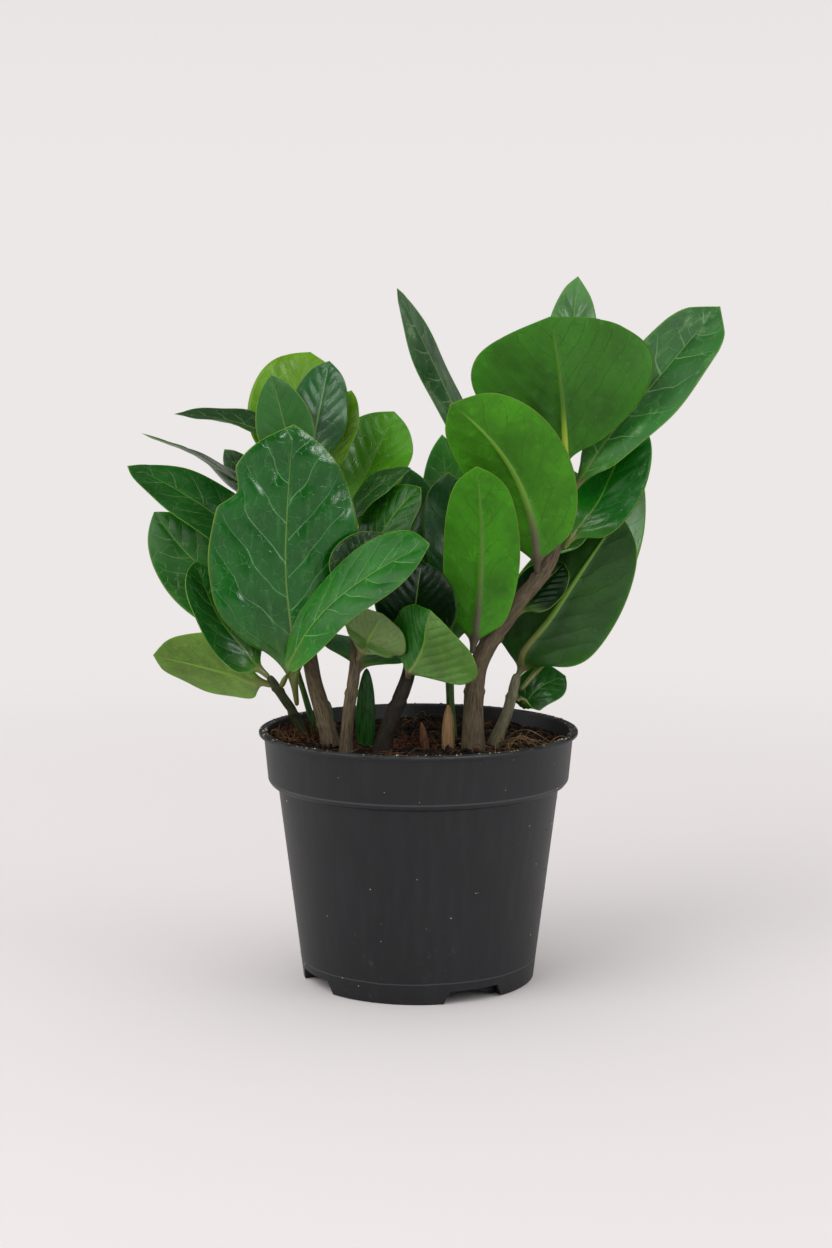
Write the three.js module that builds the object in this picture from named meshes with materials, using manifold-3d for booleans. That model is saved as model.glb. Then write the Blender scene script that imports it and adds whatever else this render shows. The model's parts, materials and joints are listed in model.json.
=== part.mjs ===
// A young ZZ plant (Zamioculcas zamiifolia) growing in a thin plastic nursery pot.
// Millimetres, +Z up. The origin is the middle of the pot's flat underside and -Y is the front.
// The pot is turned about the Z axis. The plant stands on the level of its soil, so it follows
// the pot's height, and each leaf is tied to a station on its own stem.
import * as THREE from "three";
import { mergeVertices } from "three/addons/utils/BufferGeometryUtils.js";
import Module from "manifold-3d";

const wasm = await Module();
wasm.setup();

// ---------------------------------------------------------------- driving dimensions
const POT_HEIGHT = 102;
const RIM_RADIUS = 65; // outside of the lip
const BASE_RADIUS = 47.4; // outside of the foot
const WALL = 1.4;
const FLOOR = 1.5;
const LIP_HEIGHT = 1.6;
const LIP_OVERHANG = 2; // how far the lip stands out from the collar
const COLLAR_HEIGHT = 20; // the straight band under the lip
const COLLAR_DRAFT = 1.7; // how much the collar narrows over its height
const COLLAR_STEP = 4; // how far the body sits in from the collar's lower edge
const STEP_DROP = 2.6; // height of the round under the collar
const FOOT_FILLET = 1.2;
const FOOT_RING = 5; // width of the ring that the pot stands on
const BOSS_RADIUS = 26; // the flat middle of the underside
const FLOOR_RISE = 2.5; // how far the floor between boss and foot ring is raised
const NOTCH_HEIGHT = 5; // drainage notches through the foot
const NOTCH_TOP_WIDTH = 21.5;
const NOTCH_BOTTOM_WIDTH = 27;
const NOTCH_COUNT = 4;
const FIRST_NOTCH = 28; // degrees from the front towards +X
const POT_SIDES = 48;

const SOIL_DEPTH = 6; // from the lip down to the soil
const SOIL_LUMPS = 1.1;
const SOIL_BANK = 4; // the soil heaped against the wall at the left
const SOIL_RINGS = 9;

const GAP = 0.3; // clearance between pieces that grow from or press on each other

const LEAF_THICKNESS = 1.1;
const PETIOLE_RADIUS = 1.5;
const PETIOLE_LENGTH = 5;
const PETIOLE_SQUARE = 0.9; // how square a petiole leaves its stem: 1 is a right angle
const BLADE_ROOT = 0.2; // share of the blade over which the petiole's thickness fades out
const STEM_SIDES = 8;
const STEM_STEP = 9; // distance between the rings of a stem
const STEM_CAP = 0.7; // the last ring's height and radius, as shares of the tip's radius
const STEM_DEPTH = 22; // how deep a stem goes to its rhizome
const STEM_SEAT = 5; // how far a stem's foot is let into its rhizome
const RHIZOME_SIDES = 12;
const RHIZOME_RINGS = 7;
const RHIZOME_FLATNESS = 0.8; // a rhizome's depth from front to back as a share of its width

const SOIL_LEVEL = POT_HEIGHT - SOIL_DEPTH;

// ---------------------------------------------------------------- finishes
const finish = (color, roughness) =>
  new THREE.MeshStandardMaterial({ color, roughness, metalness: 0, flatShading: true });
const POT_PLASTIC = finish(0x2e3032, 0.55);
const SOIL_EARTH = finish(0x2d1e16, 0.95);
const STEM_BARK = finish(0x695a4b, 0.7);
const STEM_GREEN = finish(0x4f6b2c, 0.6);
const RHIZOME_SKIN = finish(0xa58a5c, 0.8);
const BRACT_PAPER = finish(0xb08a5a, 0.85);
const LEAF_GREENS = {
  deep: finish(0x145f23, 0.35),
  bright: finish(0x3c8221, 0.4),
  lime: finish(0x6ea014, 0.45),
  dull: finish(0x3f7a35, 0.55),
  pale: finish(0x7d965f, 0.6),
  dark: finish(0x0c3a18, 0.4),
};

// ---------------------------------------------------------------- solids
const root = new THREE.Group();

function solidOf(geometry) {
  const bare = geometry.index ? geometry.toNonIndexed() : geometry.clone();
  bare.deleteAttribute("normal");
  bare.deleteAttribute("uv");
  const merged = mergeVertices(bare, 1e-4);
  return new wasm.Manifold(
    new wasm.Mesh({
      numProp: 3,
      vertProperties: new Float32Array(merged.attributes.position.array),
      triVerts: new Uint32Array(merged.index.array),
    }),
  );
}

function geometryOf(solid) {
  const mesh = solid.getMesh();
  const geometry = new THREE.BufferGeometry();
  geometry.setAttribute("position", new THREE.BufferAttribute(mesh.vertProperties, 3));
  geometry.setIndex(new THREE.BufferAttribute(mesh.triVerts, 1));
  return geometry;
}

function addMesh(name, geometry, material) {
  const mesh = new THREE.Mesh(geometry, material);
  mesh.name = name;
  root.add(mesh);
}

// A closed skin over rings of equal count. Each end is closed by a fan to its own point.
function loft(rings, start, end) {
  const count = rings[0].length;
  const points = [...rings.flat(), start, end];
  const startIndex = points.length - 2;
  const endIndex = points.length - 1;
  const triangles = [];
  for (let i = 0; i < count; i++) {
    const j = (i + 1) % count;
    const last = (rings.length - 1) * count;
    triangles.push([startIndex, j, i], [endIndex, last + i, last + j]);
    for (let r = 0; r < rings.length - 1; r++) {
      const a = r * count;
      const b = a + count;
      triangles.push([a + i, a + j, b + j], [a + i, b + j, b + i]);
    }
  }
  const volume = triangles.reduce(
    (sum, [a, b, c]) => sum + points[a].dot(points[b].clone().cross(points[c])),
    0,
  );
  if (volume < 0) triangles.forEach((t) => t.reverse());
  const geometry = new THREE.BufferGeometry().setFromPoints(points);
  geometry.setIndex(triangles.flat());
  return geometry;
}

// ---------------------------------------------------------------- pot
const collarTop = RIM_RADIUS - LIP_OVERHANG;
const collarBottom = collarTop - COLLAR_DRAFT;
const collarEdge = POT_HEIGHT - COLLAR_HEIGHT;
const bodyTop = collarBottom - COLLAR_STEP;
const bodyEdge = collarEdge - STEP_DROP;

// The inner wall's radius at a height, so that whatever lies in the pot follows it.
function innerRadius(z) {
  if (z >= collarEdge)
    return collarBottom + (COLLAR_DRAFT * (z - collarEdge)) / COLLAR_HEIGHT - WALL;
  if (z >= bodyEdge) return bodyTop + (COLLAR_STEP * (z - bodyEdge)) / STEP_DROP - WALL;
  return BASE_RADIUS + ((bodyTop - BASE_RADIUS) * z) / bodyEdge - WALL;
}

function makePot() {
  const slope = (bodyTop - BASE_RADIUS) / bodyEdge;
  const ringInside = BASE_RADIUS - FOOT_RING;
  const floorTop = FLOOR_RISE + FLOOR;
  const outline = [
    [0, 0],
    [BOSS_RADIUS, 0],
    [BOSS_RADIUS + FLOOR_RISE, FLOOR_RISE],
    [ringInside - FLOOR_RISE / 2, FLOOR_RISE],
    [ringInside, 0],
    [BASE_RADIUS - FOOT_FILLET, 0],
    [BASE_RADIUS + FOOT_FILLET * slope, FOOT_FILLET],
    [bodyTop, bodyEdge],
    [collarBottom - COLLAR_STEP / 3, collarEdge - STEP_DROP * 0.7],
    [collarBottom, collarEdge],
    [collarTop, POT_HEIGHT - LIP_HEIGHT],
    [RIM_RADIUS, POT_HEIGHT - LIP_HEIGHT],
    [RIM_RADIUS, POT_HEIGHT - LIP_HEIGHT / 4],
    [RIM_RADIUS - LIP_HEIGHT / 4, POT_HEIGHT],
    [innerRadius(POT_HEIGHT), POT_HEIGHT],
    [innerRadius(collarEdge), collarEdge],
    [innerRadius(bodyEdge), bodyEdge],
    [innerRadius(floorTop), floorTop],
    [BOSS_RADIUS - FLOOR_RISE, floorTop],
    [0, floorTop],
  ].map(([r, z]) => new THREE.Vector2(r, z));
  const turned = new THREE.LatheGeometry(outline, POT_SIDES).rotateX(Math.PI / 2);
  let pot = solidOf(turned);
  const through = BASE_RADIUS - ringInside + 2 * WALL;
  for (let i = 0; i < NOTCH_COUNT; i++) {
    const profile = new THREE.Shape([
      new THREE.Vector2(-NOTCH_BOTTOM_WIDTH / 2, -1),
      new THREE.Vector2(NOTCH_BOTTOM_WIDTH / 2, -1),
      new THREE.Vector2(NOTCH_TOP_WIDTH / 2, NOTCH_HEIGHT),
      new THREE.Vector2(-NOTCH_TOP_WIDTH / 2, NOTCH_HEIGHT),
    ]);
    const angle = THREE.MathUtils.degToRad(FIRST_NOTCH + (360 / NOTCH_COUNT) * i);
    const cutter = new THREE.ExtrudeGeometry(profile, { depth: through, bevelEnabled: false })
      .rotateX(Math.PI / 2)
      .translate(0, -(ringInside - WALL), 0)
      .rotateZ(angle);
    pot = pot.subtract(solidOf(cutter));
  }
  addMesh("pot", geometryOf(pot), POT_PLASTIC);
}

// ---------------------------------------------------------------- stems
// Potato-like rhizomes under the soil: [x, y] of the middle, and half the width and the height.
const RHIZOMES = {
  rhizome_left: { middle: [-31, 0], across: 13, deep: 13 },
  rhizome_middle: { middle: [-20, -21], across: 10, deep: 12 },
  rhizome_right: { middle: [24, -9], across: 13, deep: 13 },
  rhizome_back: { middle: [13, 14], across: 8, deep: 10 },
};

// Each route starts at the soil and lists [x, y, height above the soil] up to the last leaf.
const STEMS = {
  stem_1: { from: "rhizome_left", route: [[-46, 4, 0], [-50, 2, 10], [-55, -1, 19], [-60, -4, 27]],
    foot: 2.3, tip: 1.7 },
  stem_2: { from: "rhizome_left", route: [[-42, 9, 0], [-47, 10, 19], [-51, 10, 32], [-54, 10, 46]],
    foot: 1.3, tip: 1.2, green: true },
  stem_3: { from: "rhizome_left", route: [[-35, -10, 0], [-39, -6, 14], [-44, 0, 33], [-47, 6, 58],
    [-48, 12, 88], [-47, 16, 116]], foot: 3.9, tip: 2 },
  stem_4: { from: "rhizome_middle", route: [[-29, -22, 0], [-27, -21, 22], [-25, -17, 38],
    [-27, -2, 62], [-31, 10, 84], [-31, 12, 94]], foot: 2.7, tip: 1.8 },
  stem_5: { from: "rhizome_middle", route: [[-15, -24, 0], [-10, -24, 16], [-5, -21, 27],
    [-2, -8, 44], [2, 6, 62]], foot: 4, tip: 1.8 },
  stem_6: { from: "rhizome_right", route: [[22, -16, 0], [22, -14, 14], [24, -11, 35], [33, -6, 48],
    [42, -2, 60], [53, 5, 72], [58, 11, 90], [61, 15, 112]], foot: 4.8, tip: 2.2 },
  stem_7: { from: "rhizome_right", route: [[31, -2, 0], [35, 0, 9], [38, 2, 18], [40, 5, 26]],
    foot: 2.9, tip: 2 },
  stem_8: { from: "rhizome_back", route: [[14, 14, 0], [13, 17, 20], [14, 20, 42], [19, 24, 78],
    [28, 26, 106]], foot: 1.9, tip: 1.5, green: true },
};
const CROWN_SPREAD = 0.65; // share of a stem's distance from its rhizome that its foot keeps
const CURVE_DIVISIONS = 40; // measuring steps for each stretch of a route

// The route is carried on down to the rhizome, drawing in towards the rhizome's middle.
function stemCurve({ from, route }) {
  const above = route.map(([x, y, h]) => new THREE.Vector3(x, y, SOIL_LEVEL + h));
  const [x, y] = RHIZOMES[from].middle;
  const foot = new THREE.Vector3(x, y, SOIL_LEVEL).lerp(above[0], CROWN_SPREAD);
  foot.z -= STEM_DEPTH;
  return new THREE.CatmullRomCurve3([foot, ...above], false, "centripetal");
}

// The share of the whole stem's length at a station between the soil (0) and the top (1).
function stationShare(curve, at) {
  const lengths = curve.getLengths(CURVE_DIVISIONS * (curve.points.length - 1));
  const buried = lengths[CURVE_DIVISIONS];
  const whole = lengths.at(-1);
  return Math.min(1, (buried + at * (whole - buried)) / whole); // rounding may pass the end
}

function stemSolid(stem, extra) {
  const curve = stemCurve(stem);
  const steps = Math.ceil(curve.getLength() / STEM_STEP);
  const frames = curve.computeFrenetFrames(steps);
  const centres = curve.getSpacedPoints(steps);
  const radiusAt = (k) => THREE.MathUtils.lerp(stem.foot, stem.tip, k / steps) + extra;
  const ring = (k, centre, radius) =>
    Array.from({ length: STEM_SIDES }, (_, i) => {
      const angle = (2 * Math.PI * i) / STEM_SIDES;
      return centre
        .clone()
        .addScaledVector(frames.normals[k], radius * Math.cos(angle))
        .addScaledVector(frames.binormals[k], radius * Math.sin(angle));
    });
  const rings = centres.map((c, k) => ring(k, c, radiusAt(k)));
  const r = radiusAt(steps);
  const along = frames.tangents[steps];
  const top = centres[steps];
  rings.push(ring(steps, top.clone().addScaledVector(along, r * STEM_CAP), r * STEM_CAP));
  const start = centres[0].clone().addScaledVector(frames.tangents[0], -extra);
  return loft(rings, start, top.clone().addScaledVector(along, r));
}

function makeStems() {
  for (const [name, stem] of Object.entries(STEMS))
    addMesh(name, stemSolid(stem, 0), stem.green ? STEM_GREEN : STEM_BARK);
}

// ---------------------------------------------------------------- rhizomes
function tuber({ middle, across, deep }, extra) {
  const shape = new THREE.SphereGeometry(1, RHIZOME_SIDES, RHIZOME_RINGS);
  shape.rotateX(Math.PI / 2).scale(across + extra, across * RHIZOME_FLATNESS + extra, deep + extra);
  return shape.translate(middle[0], middle[1], SOIL_LEVEL - STEM_DEPTH - deep + STEM_SEAT);
}

function makeRhizomes() {
  for (const [name, rhizome] of Object.entries(RHIZOMES)) {
    let solid = solidOf(tuber(rhizome, 0));
    for (const stem of Object.values(STEMS)) solid = solid.subtract(solidOf(stemSolid(stem, GAP)));
    addMesh(name, geometryOf(solid), RHIZOME_SKIN);
  }
}

// ---------------------------------------------------------------- leaves
// on, at: the stem, and the station between the soil (0) and the stem's top (1).
// reach: from the stem's middle to the leaf's tip. faces: where the glossy upper side looks.
// bow, sway: how far the midrib arches towards the upper side and sideways.
// fold, cup: how much each half rises as a V and as a bowl, as shares of its half-width.
// widest: where along the blade it is widest. taper: under 1 is blunt, over 1.3 is slender.
const LEAVES = {
  leaf_left_broad: { on: "stem_1", at: 0.5, reach: [3, -15, 116], faces: [0.05, -1, 0.1],
    width: 64, bow: 3, sway: -3, fold: 0.05, cup: -0.22, taper: 0.95,
    petiole: 14, lean: 0, green: "deep" },
  leaf_left_crossing: { on: "stem_1", at: 0.85, reach: [62, -42, 62], faces: [-0.5, -0.75, 0.45],
    width: 30, bow: 6, sway: -6, fold: 0.1, widest: 0.62, taper: 0.9, twist: -10,
    green: "bright" },
  leaf_left_folded: { on: "stem_1", at: 1, reach: [-31, 10, 47], faces: [0.6, -0.7, 0.2],
    width: 27, bow: 0, sway: -5, fold: 0.3, green: "bright" },
  leaf_left_low: { on: "stem_1", at: 0.9, reach: [-51, 15, 10], faces: [0.2, 0.8, 0.5],
    width: 34, bow: 3, sway: 2, fold: 0.1, cup: 0.1, green: "pale" },
  leaf_left_middle: { on: "stem_2", at: 1, reach: [-55, 10, 47], faces: [-0.3, -0.9, 0.5],
    width: 36, bow: 5, sway: -5, fold: 0.15, taper: 1.15, green: "bright" },
  leaf_left_upper: { on: "stem_3", at: 0.56, reach: [-73, 17, 48], faces: [-0.1, -0.5, 0.9],
    width: 32, bow: 6, fold: 0.2, taper: 1.15, green: "deep" },
  leaf_left_blade: { on: "stem_3", at: 0.84, reach: [-68, 21, 28], faces: [0.4, 0, 0.9],
    width: 16, bow: 1, fold: 0.25, taper: 1.3, green: "dark" },
  leaf_left_spear: { on: "stem_3", at: 1, reach: [-54, 10, 17], faces: [0.3, -0.3, 1],
    width: 20, bow: 4, fold: 0.3, taper: 1.3, green: "dark" },
  leaf_left_narrow: { on: "stem_3", at: 0.62, reach: [-34, 33, 47], faces: [-0.7, -0.5, 0.5],
    width: 24, bow: 3, fold: 0.25, taper: 1.2, green: "dark" },
  leaf_crown_lime: { on: "stem_3", at: 0.97, reach: [2, 24, 46], faces: [-0.1, -0.9, 0.4],
    width: 40, bow: 0, sway: -4, fold: 0.05, cup: 0.12, taper: 0.85, green: "lime" },
  leaf_crown_back: { on: "stem_3", at: 0.85, reach: [-10, 49, 54], faces: [-0.2, -0.6, 0.8],
    width: 26, bow: 2, fold: 0.15, taper: 1.1, green: "dark" },
  leaf_crown_grey: { on: "stem_3", at: 0.92, reach: [-12, -8, 43], faces: [-0.1, -1, 0.2],
    width: 24, bow: 2, fold: 0.1, taper: 1.3, green: "dull" },
  leaf_crown_blue: { on: "stem_3", at: 0.94, reach: [11, 2, 46], faces: [0.2, -1, 0.2],
    width: 25, bow: 2, fold: 0.05, cup: -0.1, green: "deep" },
  leaf_crown_right: { on: "stem_3", at: 0.88, reach: [20, 16, 41], faces: [-0.5, -0.8, 0.2],
    width: 26, bow: -5, fold: 0.2, cup: 0.3, green: "lime" },
  leaf_centre_cupped: { on: "stem_4", at: 1, reach: [21, 18, 40], faces: [-0.1, -0.9, 0.5],
    width: 36, bow: -6, fold: 0.1, cup: 0.45, taper: 0.85, green: "bright" },
  leaf_centre_spear: { on: "stem_4", at: 0.9, reach: [28, -8, 28], faces: [-0.5, -0.5, 0.8],
    width: 20, bow: 4, fold: 0.2, taper: 1.2, green: "dull" },
  leaf_centre_edged: { on: "stem_4", at: 0.72, reach: [29, -8, 37], faces: [-0.4, -0.7, 0.6],
    width: 28, bow: 3, fold: 0.15, green: "dark" },
  leaf_centre_deep: { on: "stem_4", at: 0.57, reach: [12, -4, 32], faces: [0.1, -0.9, 0.3],
    width: 34, bow: 2, fold: 0.1, taper: 0.9, green: "dark" },
  leaf_centre_tall: { on: "stem_8", at: 0.3, reach: [-1, 5, 77], faces: [0.2, -1, 0.1],
    width: 28, bow: 4, fold: 0.15, widest: 0.5, taper: 0.85, green: "dark" },
  leaf_centre_wedge: { on: "stem_8", at: 0.56, reach: [-6, 20, 64], faces: [0.2, -1, 0.3],
    width: 24, bow: -2, fold: 0.1, taper: 1.2, petiole: 8, green: "bright" },
  leaf_centre_shaded: { on: "stem_5", at: 0.56, reach: [4, 3, 39], faces: [0, -0.9, 0.4],
    width: 34, bow: 4, fold: 0.15, widest: 0.4, green: "dark" },
  leaf_low_curled: { on: "stem_4", at: 0.36, reach: [11, -9, 20], faces: [0.1, 1, 0.4],
    width: 34, bow: -2, fold: 0.1, widest: 0.5, taper: 0.85, petiole: 4, green: "pale" },
  leaf_low_folded: { on: "stem_5", at: 0.43, reach: [9, -20, 30], faces: [-0.1, -0.8, 0.5],
    width: 42, bow: 2, fold: -0.45, lean: 0.2, widest: 0.35, taper: 0.85, petiole: 3,
    green: "bright" },
  leaf_right_fan: { on: "stem_6", at: 0.98, reach: [-8, -8, 63], faces: [0, 1, -0.1],
    width: 76, bow: -4, sway: -1, fold: 0.12, widest: 0.64, taper: 1.2, lean: -0.06,
    green: "bright" },
  leaf_right_front: { on: "stem_6", at: 0.62, reach: [-37, -27, 71], faces: [0.25, 1, 0],
    width: 42, bow: 4, sway: -9, fold: 0.05, cup: 0.1, widest: 0.5, taper: 0.9, lean: -0.1,
    green: "bright" },
  leaf_right_inner: { on: "stem_6", at: 0.29, reach: [-2, -20, 78], faces: [0.05, 1, -0.05],
    width: 31, bow: 5, sway: -2, cup: 0.15, widest: 0.45, taper: 0.75, green: "bright" },
  leaf_right_long: { on: "stem_6", at: 0.92, reach: [64, 12, 75], faces: [-0.45, -0.8, 0.5],
    width: 32, bow: -2, sway: -2, fold: 0.12, widest: 0.55, taper: 0.85, green: "deep" },
  leaf_right_back: { on: "stem_6", at: 1, reach: [6, 33, 78], faces: [0.1, -1, 0.3],
    width: 24, bow: 5, sway: -2, fold: 0.15, taper: 1.2, petiole: 10, green: "bright" },
  leaf_right_spear: { on: "stem_8", at: 1, reach: [-37, 18, 79], faces: [-0.8, -0.5, 0],
    width: 20, bow: 0, sway: 2, fold: 0.3, widest: 0.5, taper: 1.25, green: "deep" },
  leaf_right_glossy: { on: "stem_6", at: 0.74, reach: [35, 15, 52], faces: [0.2, -0.9, 0.4],
    width: 32, bow: 2, sway: 2, fold: 0.1, green: "deep" },
  leaf_right_edge: { on: "stem_7", at: 0.86, reach: [53, 40, 90], faces: [0.3, -0.9, 0.1],
    width: 26, bow: 2, sway: 8, fold: 0.1, taper: 1, petiole: 22, green: "dull" },
  leaf_right_low: { on: "stem_7", at: 1, reach: [44, 20, 66], faces: [0.3, 0.9, -0.1],
    width: 46, bow: 2, sway: 1, fold: 0.08, cup: 0.1, widest: 0.42, taper: 0.75, petiole: 3,
    green: "dull" },
  leaf_right_inset: { on: "stem_6", at: 0.45, reach: [24, 20, 20], faces: [-0.2, -0.9, 0.3],
    width: 20, bow: 0, fold: 0.1, petiole: 6, green: "dark" },
  leaf_right_hem: { on: "stem_7", at: 0.7, reach: [23, 14, 7], faces: [0.2, -0.8, 0.6],
    width: 18, bow: 1, fold: 0.1, taper: 0.9, petiole: 3, green: "bright" },
  leaf_back_left: { on: "stem_3", at: 0.76, reach: [-14, 54, 36], faces: [-0.2, -0.4, 0.9],
    width: 38, bow: 3, fold: 0.15, green: "deep" },
  leaf_back_middle: { on: "stem_4", at: 0.3, reach: [9, 48, 6], faces: [0, -0.7, 0.7],
    width: 42, bow: 4, petiole: 9, fold: 0.12, taper: 0.9, green: "deep" },
  leaf_back_tall: { on: "stem_5", at: 1, reach: [-19, 44, 50], faces: [0, -0.8, 0.6],
    width: 36, bow: 3, fold: 0.12, taper: 0.9, green: "deep" },
  leaf_back_right: { on: "stem_6", at: 0.66, reach: [2, 58, 42], faces: [0.1, -0.5, 0.9],
    width: 44, bow: 2, fold: 0.12, green: "deep" },
};

// Stations of the blade's rings, from the end of the petiole (0) to just under the tip (1).
const BLADE_STATIONS = [0.05, 0.14, 0.26, 0.4, 0.54, 0.68, 0.81, 0.92];
const COLUMNS = [-1, -0.5, 0, 0.5, 1];
const MIDDLE_COLUMN = 2;
const LEAF_ROOM = 1; // the least air between two leaves, or a leaf and a stem
const SETTLING_ROUNDS = 120;

// Half-width of the blade as a share of its greatest, with its peak of 1 at `widest`.
function outlineShare(u, widest, taper) {
  const rise = (u / widest) ** (taper * widest);
  const fall = ((1 - u) / (1 - widest)) ** (taper * (1 - widest));
  return rise * fall;
}

// A leaf as the middle surface of its blade: rows of points across the midrib, and the tip.
// Each row also holds half its thickness at the midrib.
function leafRows(name, leaf) {
  const { on, at, width } = leaf;
  const { bow = 0, sway = 0, fold = 0, cup = 0, twist = 0, lean = 0 } = leaf;
  const { widest = 0.42, taper = 1, petiole = PETIOLE_LENGTH } = leaf;
  const stem = STEMS[on];
  const curve = stemCurve(stem);
  const share = stationShare(curve, at);
  const middle = curve.getPointAt(share);
  const along = curve.getTangentAt(share);
  const reach = new THREE.Vector3(...leaf.reach);
  const tip = middle.clone().add(reach);
  const way = reach.clone().normalize();
  const up = new THREE.Vector3(...leaf.faces);
  up.addScaledVector(way, -up.dot(way)).normalize();
  const side = way.clone().cross(up);
  const control = middle
    .clone()
    .lerp(tip, 0.5)
    .addScaledVector(up, 2 * bow)
    .addScaledVector(side, 2 * sway);

  // The petiole leaves the stem's skin on the side that the leaf reaches to.
  const start = control.clone().sub(middle).normalize();
  const out = start.clone();
  if (at < 1) out.addScaledVector(along, -PETIOLE_SQUARE * out.dot(along)).normalize();
  const slant = Math.sqrt(Math.max(0, 1 - out.dot(start) ** 2));
  const skin = THREE.MathUtils.lerp(stem.foot, stem.tip, share) + GAP;
  const base = middle.clone().addScaledVector(out, skin + PETIOLE_RADIUS * slant);
  const midrib = new THREE.QuadraticBezierCurve3(base, control, tip);
  const bladeStart = petiole / midrib.getLength();

  const rowAt = (place, half, thick) => {
    const centre = midrib.getPointAt(place);
    const t = midrib.getTangentAt(place);
    const n = up.clone().addScaledVector(t, -up.dot(t)).normalize();
    n.applyAxisAngle(t, THREE.MathUtils.degToRad(twist) * place);
    const b = t.clone().cross(n);
    const spread = half / (width / 2);
    const points = COLUMNS.map((c) =>
      centre
        .clone()
        .addScaledVector(b, half * c * (1 + lean * Math.sign(c)))
        .addScaledVector(n, half * spread * (fold * Math.abs(c) + cup * c * c)),
    );
    return { points, thick };
  };
  const rows = [rowAt(0, PETIOLE_RADIUS, PETIOLE_RADIUS)];
  rows.push(rowAt(bladeStart, PETIOLE_RADIUS, PETIOLE_RADIUS));
  for (const u of BLADE_STATIONS) {
    const half = Math.max((width / 2) * outlineShare(u, widest, taper), PETIOLE_RADIUS);
    const fade = Math.min(u / BLADE_ROOT, 1);
    const thick = THREE.MathUtils.lerp(PETIOLE_RADIUS, LEAF_THICKNESS / 2, fade);
    rows.push(rowAt(bladeStart + (1 - bladeStart) * u, half, thick));
  }
  rows.push({ points: COLUMNS.map(() => tip.clone()), thick: LEAF_THICKNESS / 4 });
  return { name, on, rows, facets: facetsOf(rows) };
}

// The two triangles of each cell between neighbouring rows and columns, as [row, column] corners.
// The last row is the tip alone, so a cell there is one triangle.
function facetsOf(rows) {
  const facets = [];
  for (let r = 0; r + 1 < rows.length; r++)
    for (let c = 0; c + 1 < COLUMNS.length; c++) {
      facets.push([[r, c], [r, c + 1], [r + 1, c + 1]]);
      if (r + 2 < rows.length) facets.push([[r, c], [r + 1, c + 1], [r + 1, c]]);
    }
  return facets;
}

// Points that stand for a leaf's surface: its grid points, and the middles between neighbours.
function samplesOf({ rows }) {
  const samples = [];
  for (let r = 1; r < rows.length; r++)
    for (let c = 0; c < COLUMNS.length; c++) {
      samples.push([[r, c]]);
      const right = c + 1 < COLUMNS.length;
      const down = r + 1 < rows.length;
      if (right) samples.push([[r, c], [r, c + 1]]);
      if (down) samples.push([[r, c], [r + 1, c]]);
      if (right && down) samples.push([[r, c], [r, c + 1], [r + 1, c], [r + 1, c + 1]]);
    }
  return samples;
}

const NEAR = 9; // how deep a leaf may start on the wrong side of its neighbour
const BESIDE = 1; // a point this far past a margin no longer lies over the surface
const STRIDE = 1.2; // the longest move in one round
const HOLD = [0, 0, 0.35, 0.7]; // share of a move that the rows next to the stem take
const POST_SPACING = 3; // between the points that stand for a stem
const SMOOTHING_PASSES = 2;

// The surface of each leaf in this round: boxes, facet corners, middles, radii and normals.
function surfaceOf(leaf) {
  const at = ([r, c]) => leaf.rows[r].points[c];
  const box = new THREE.Box3();
  for (const { points } of leaf.rows) for (const p of points) box.expandByPoint(p);
  const tiles = leaf.facets.map((corners) => {
    const triangle = new THREE.Triangle(...corners.map(at));
    const middle = triangle.getMidpoint(new THREE.Vector3());
    const radius = Math.max(...corners.map((k) => at(k).distanceTo(middle)));
    return { corners, triangle, middle, radius, normal: triangle.getNormal(new THREE.Vector3()) };
  });
  const mean = tiles.reduce((sum, t) => sum.add(t.normal), new THREE.Vector3()).normalize();
  return { leaf, box: box.expandByScalar(NEAR), tiles, mean };
}

// The nearest tile of a surface to a point, with the point's height over it.
const spot = new THREE.Vector3();
function nearest(surface, point, firstRow) {
  let best = null;
  let least = NEAR;
  for (const tile of surface.tiles) {
    if (tile.corners[0][0] < firstRow) continue;
    if (tile.middle.distanceTo(point) > tile.radius + least) continue;
    tile.triangle.closestPointToPoint(point, spot);
    const distance = spot.distanceTo(point);
    if (distance >= least) continue;
    least = distance;
    best = { tile, foot: spot.clone() };
  }
  if (!best) return null;
  best.away = point.clone().sub(best.foot);
  best.height = best.away.dot(best.tile.normal);
  best.past = Math.sqrt(Math.max(0, best.away.lengthSq() - best.height ** 2));
  return best;
}

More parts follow.
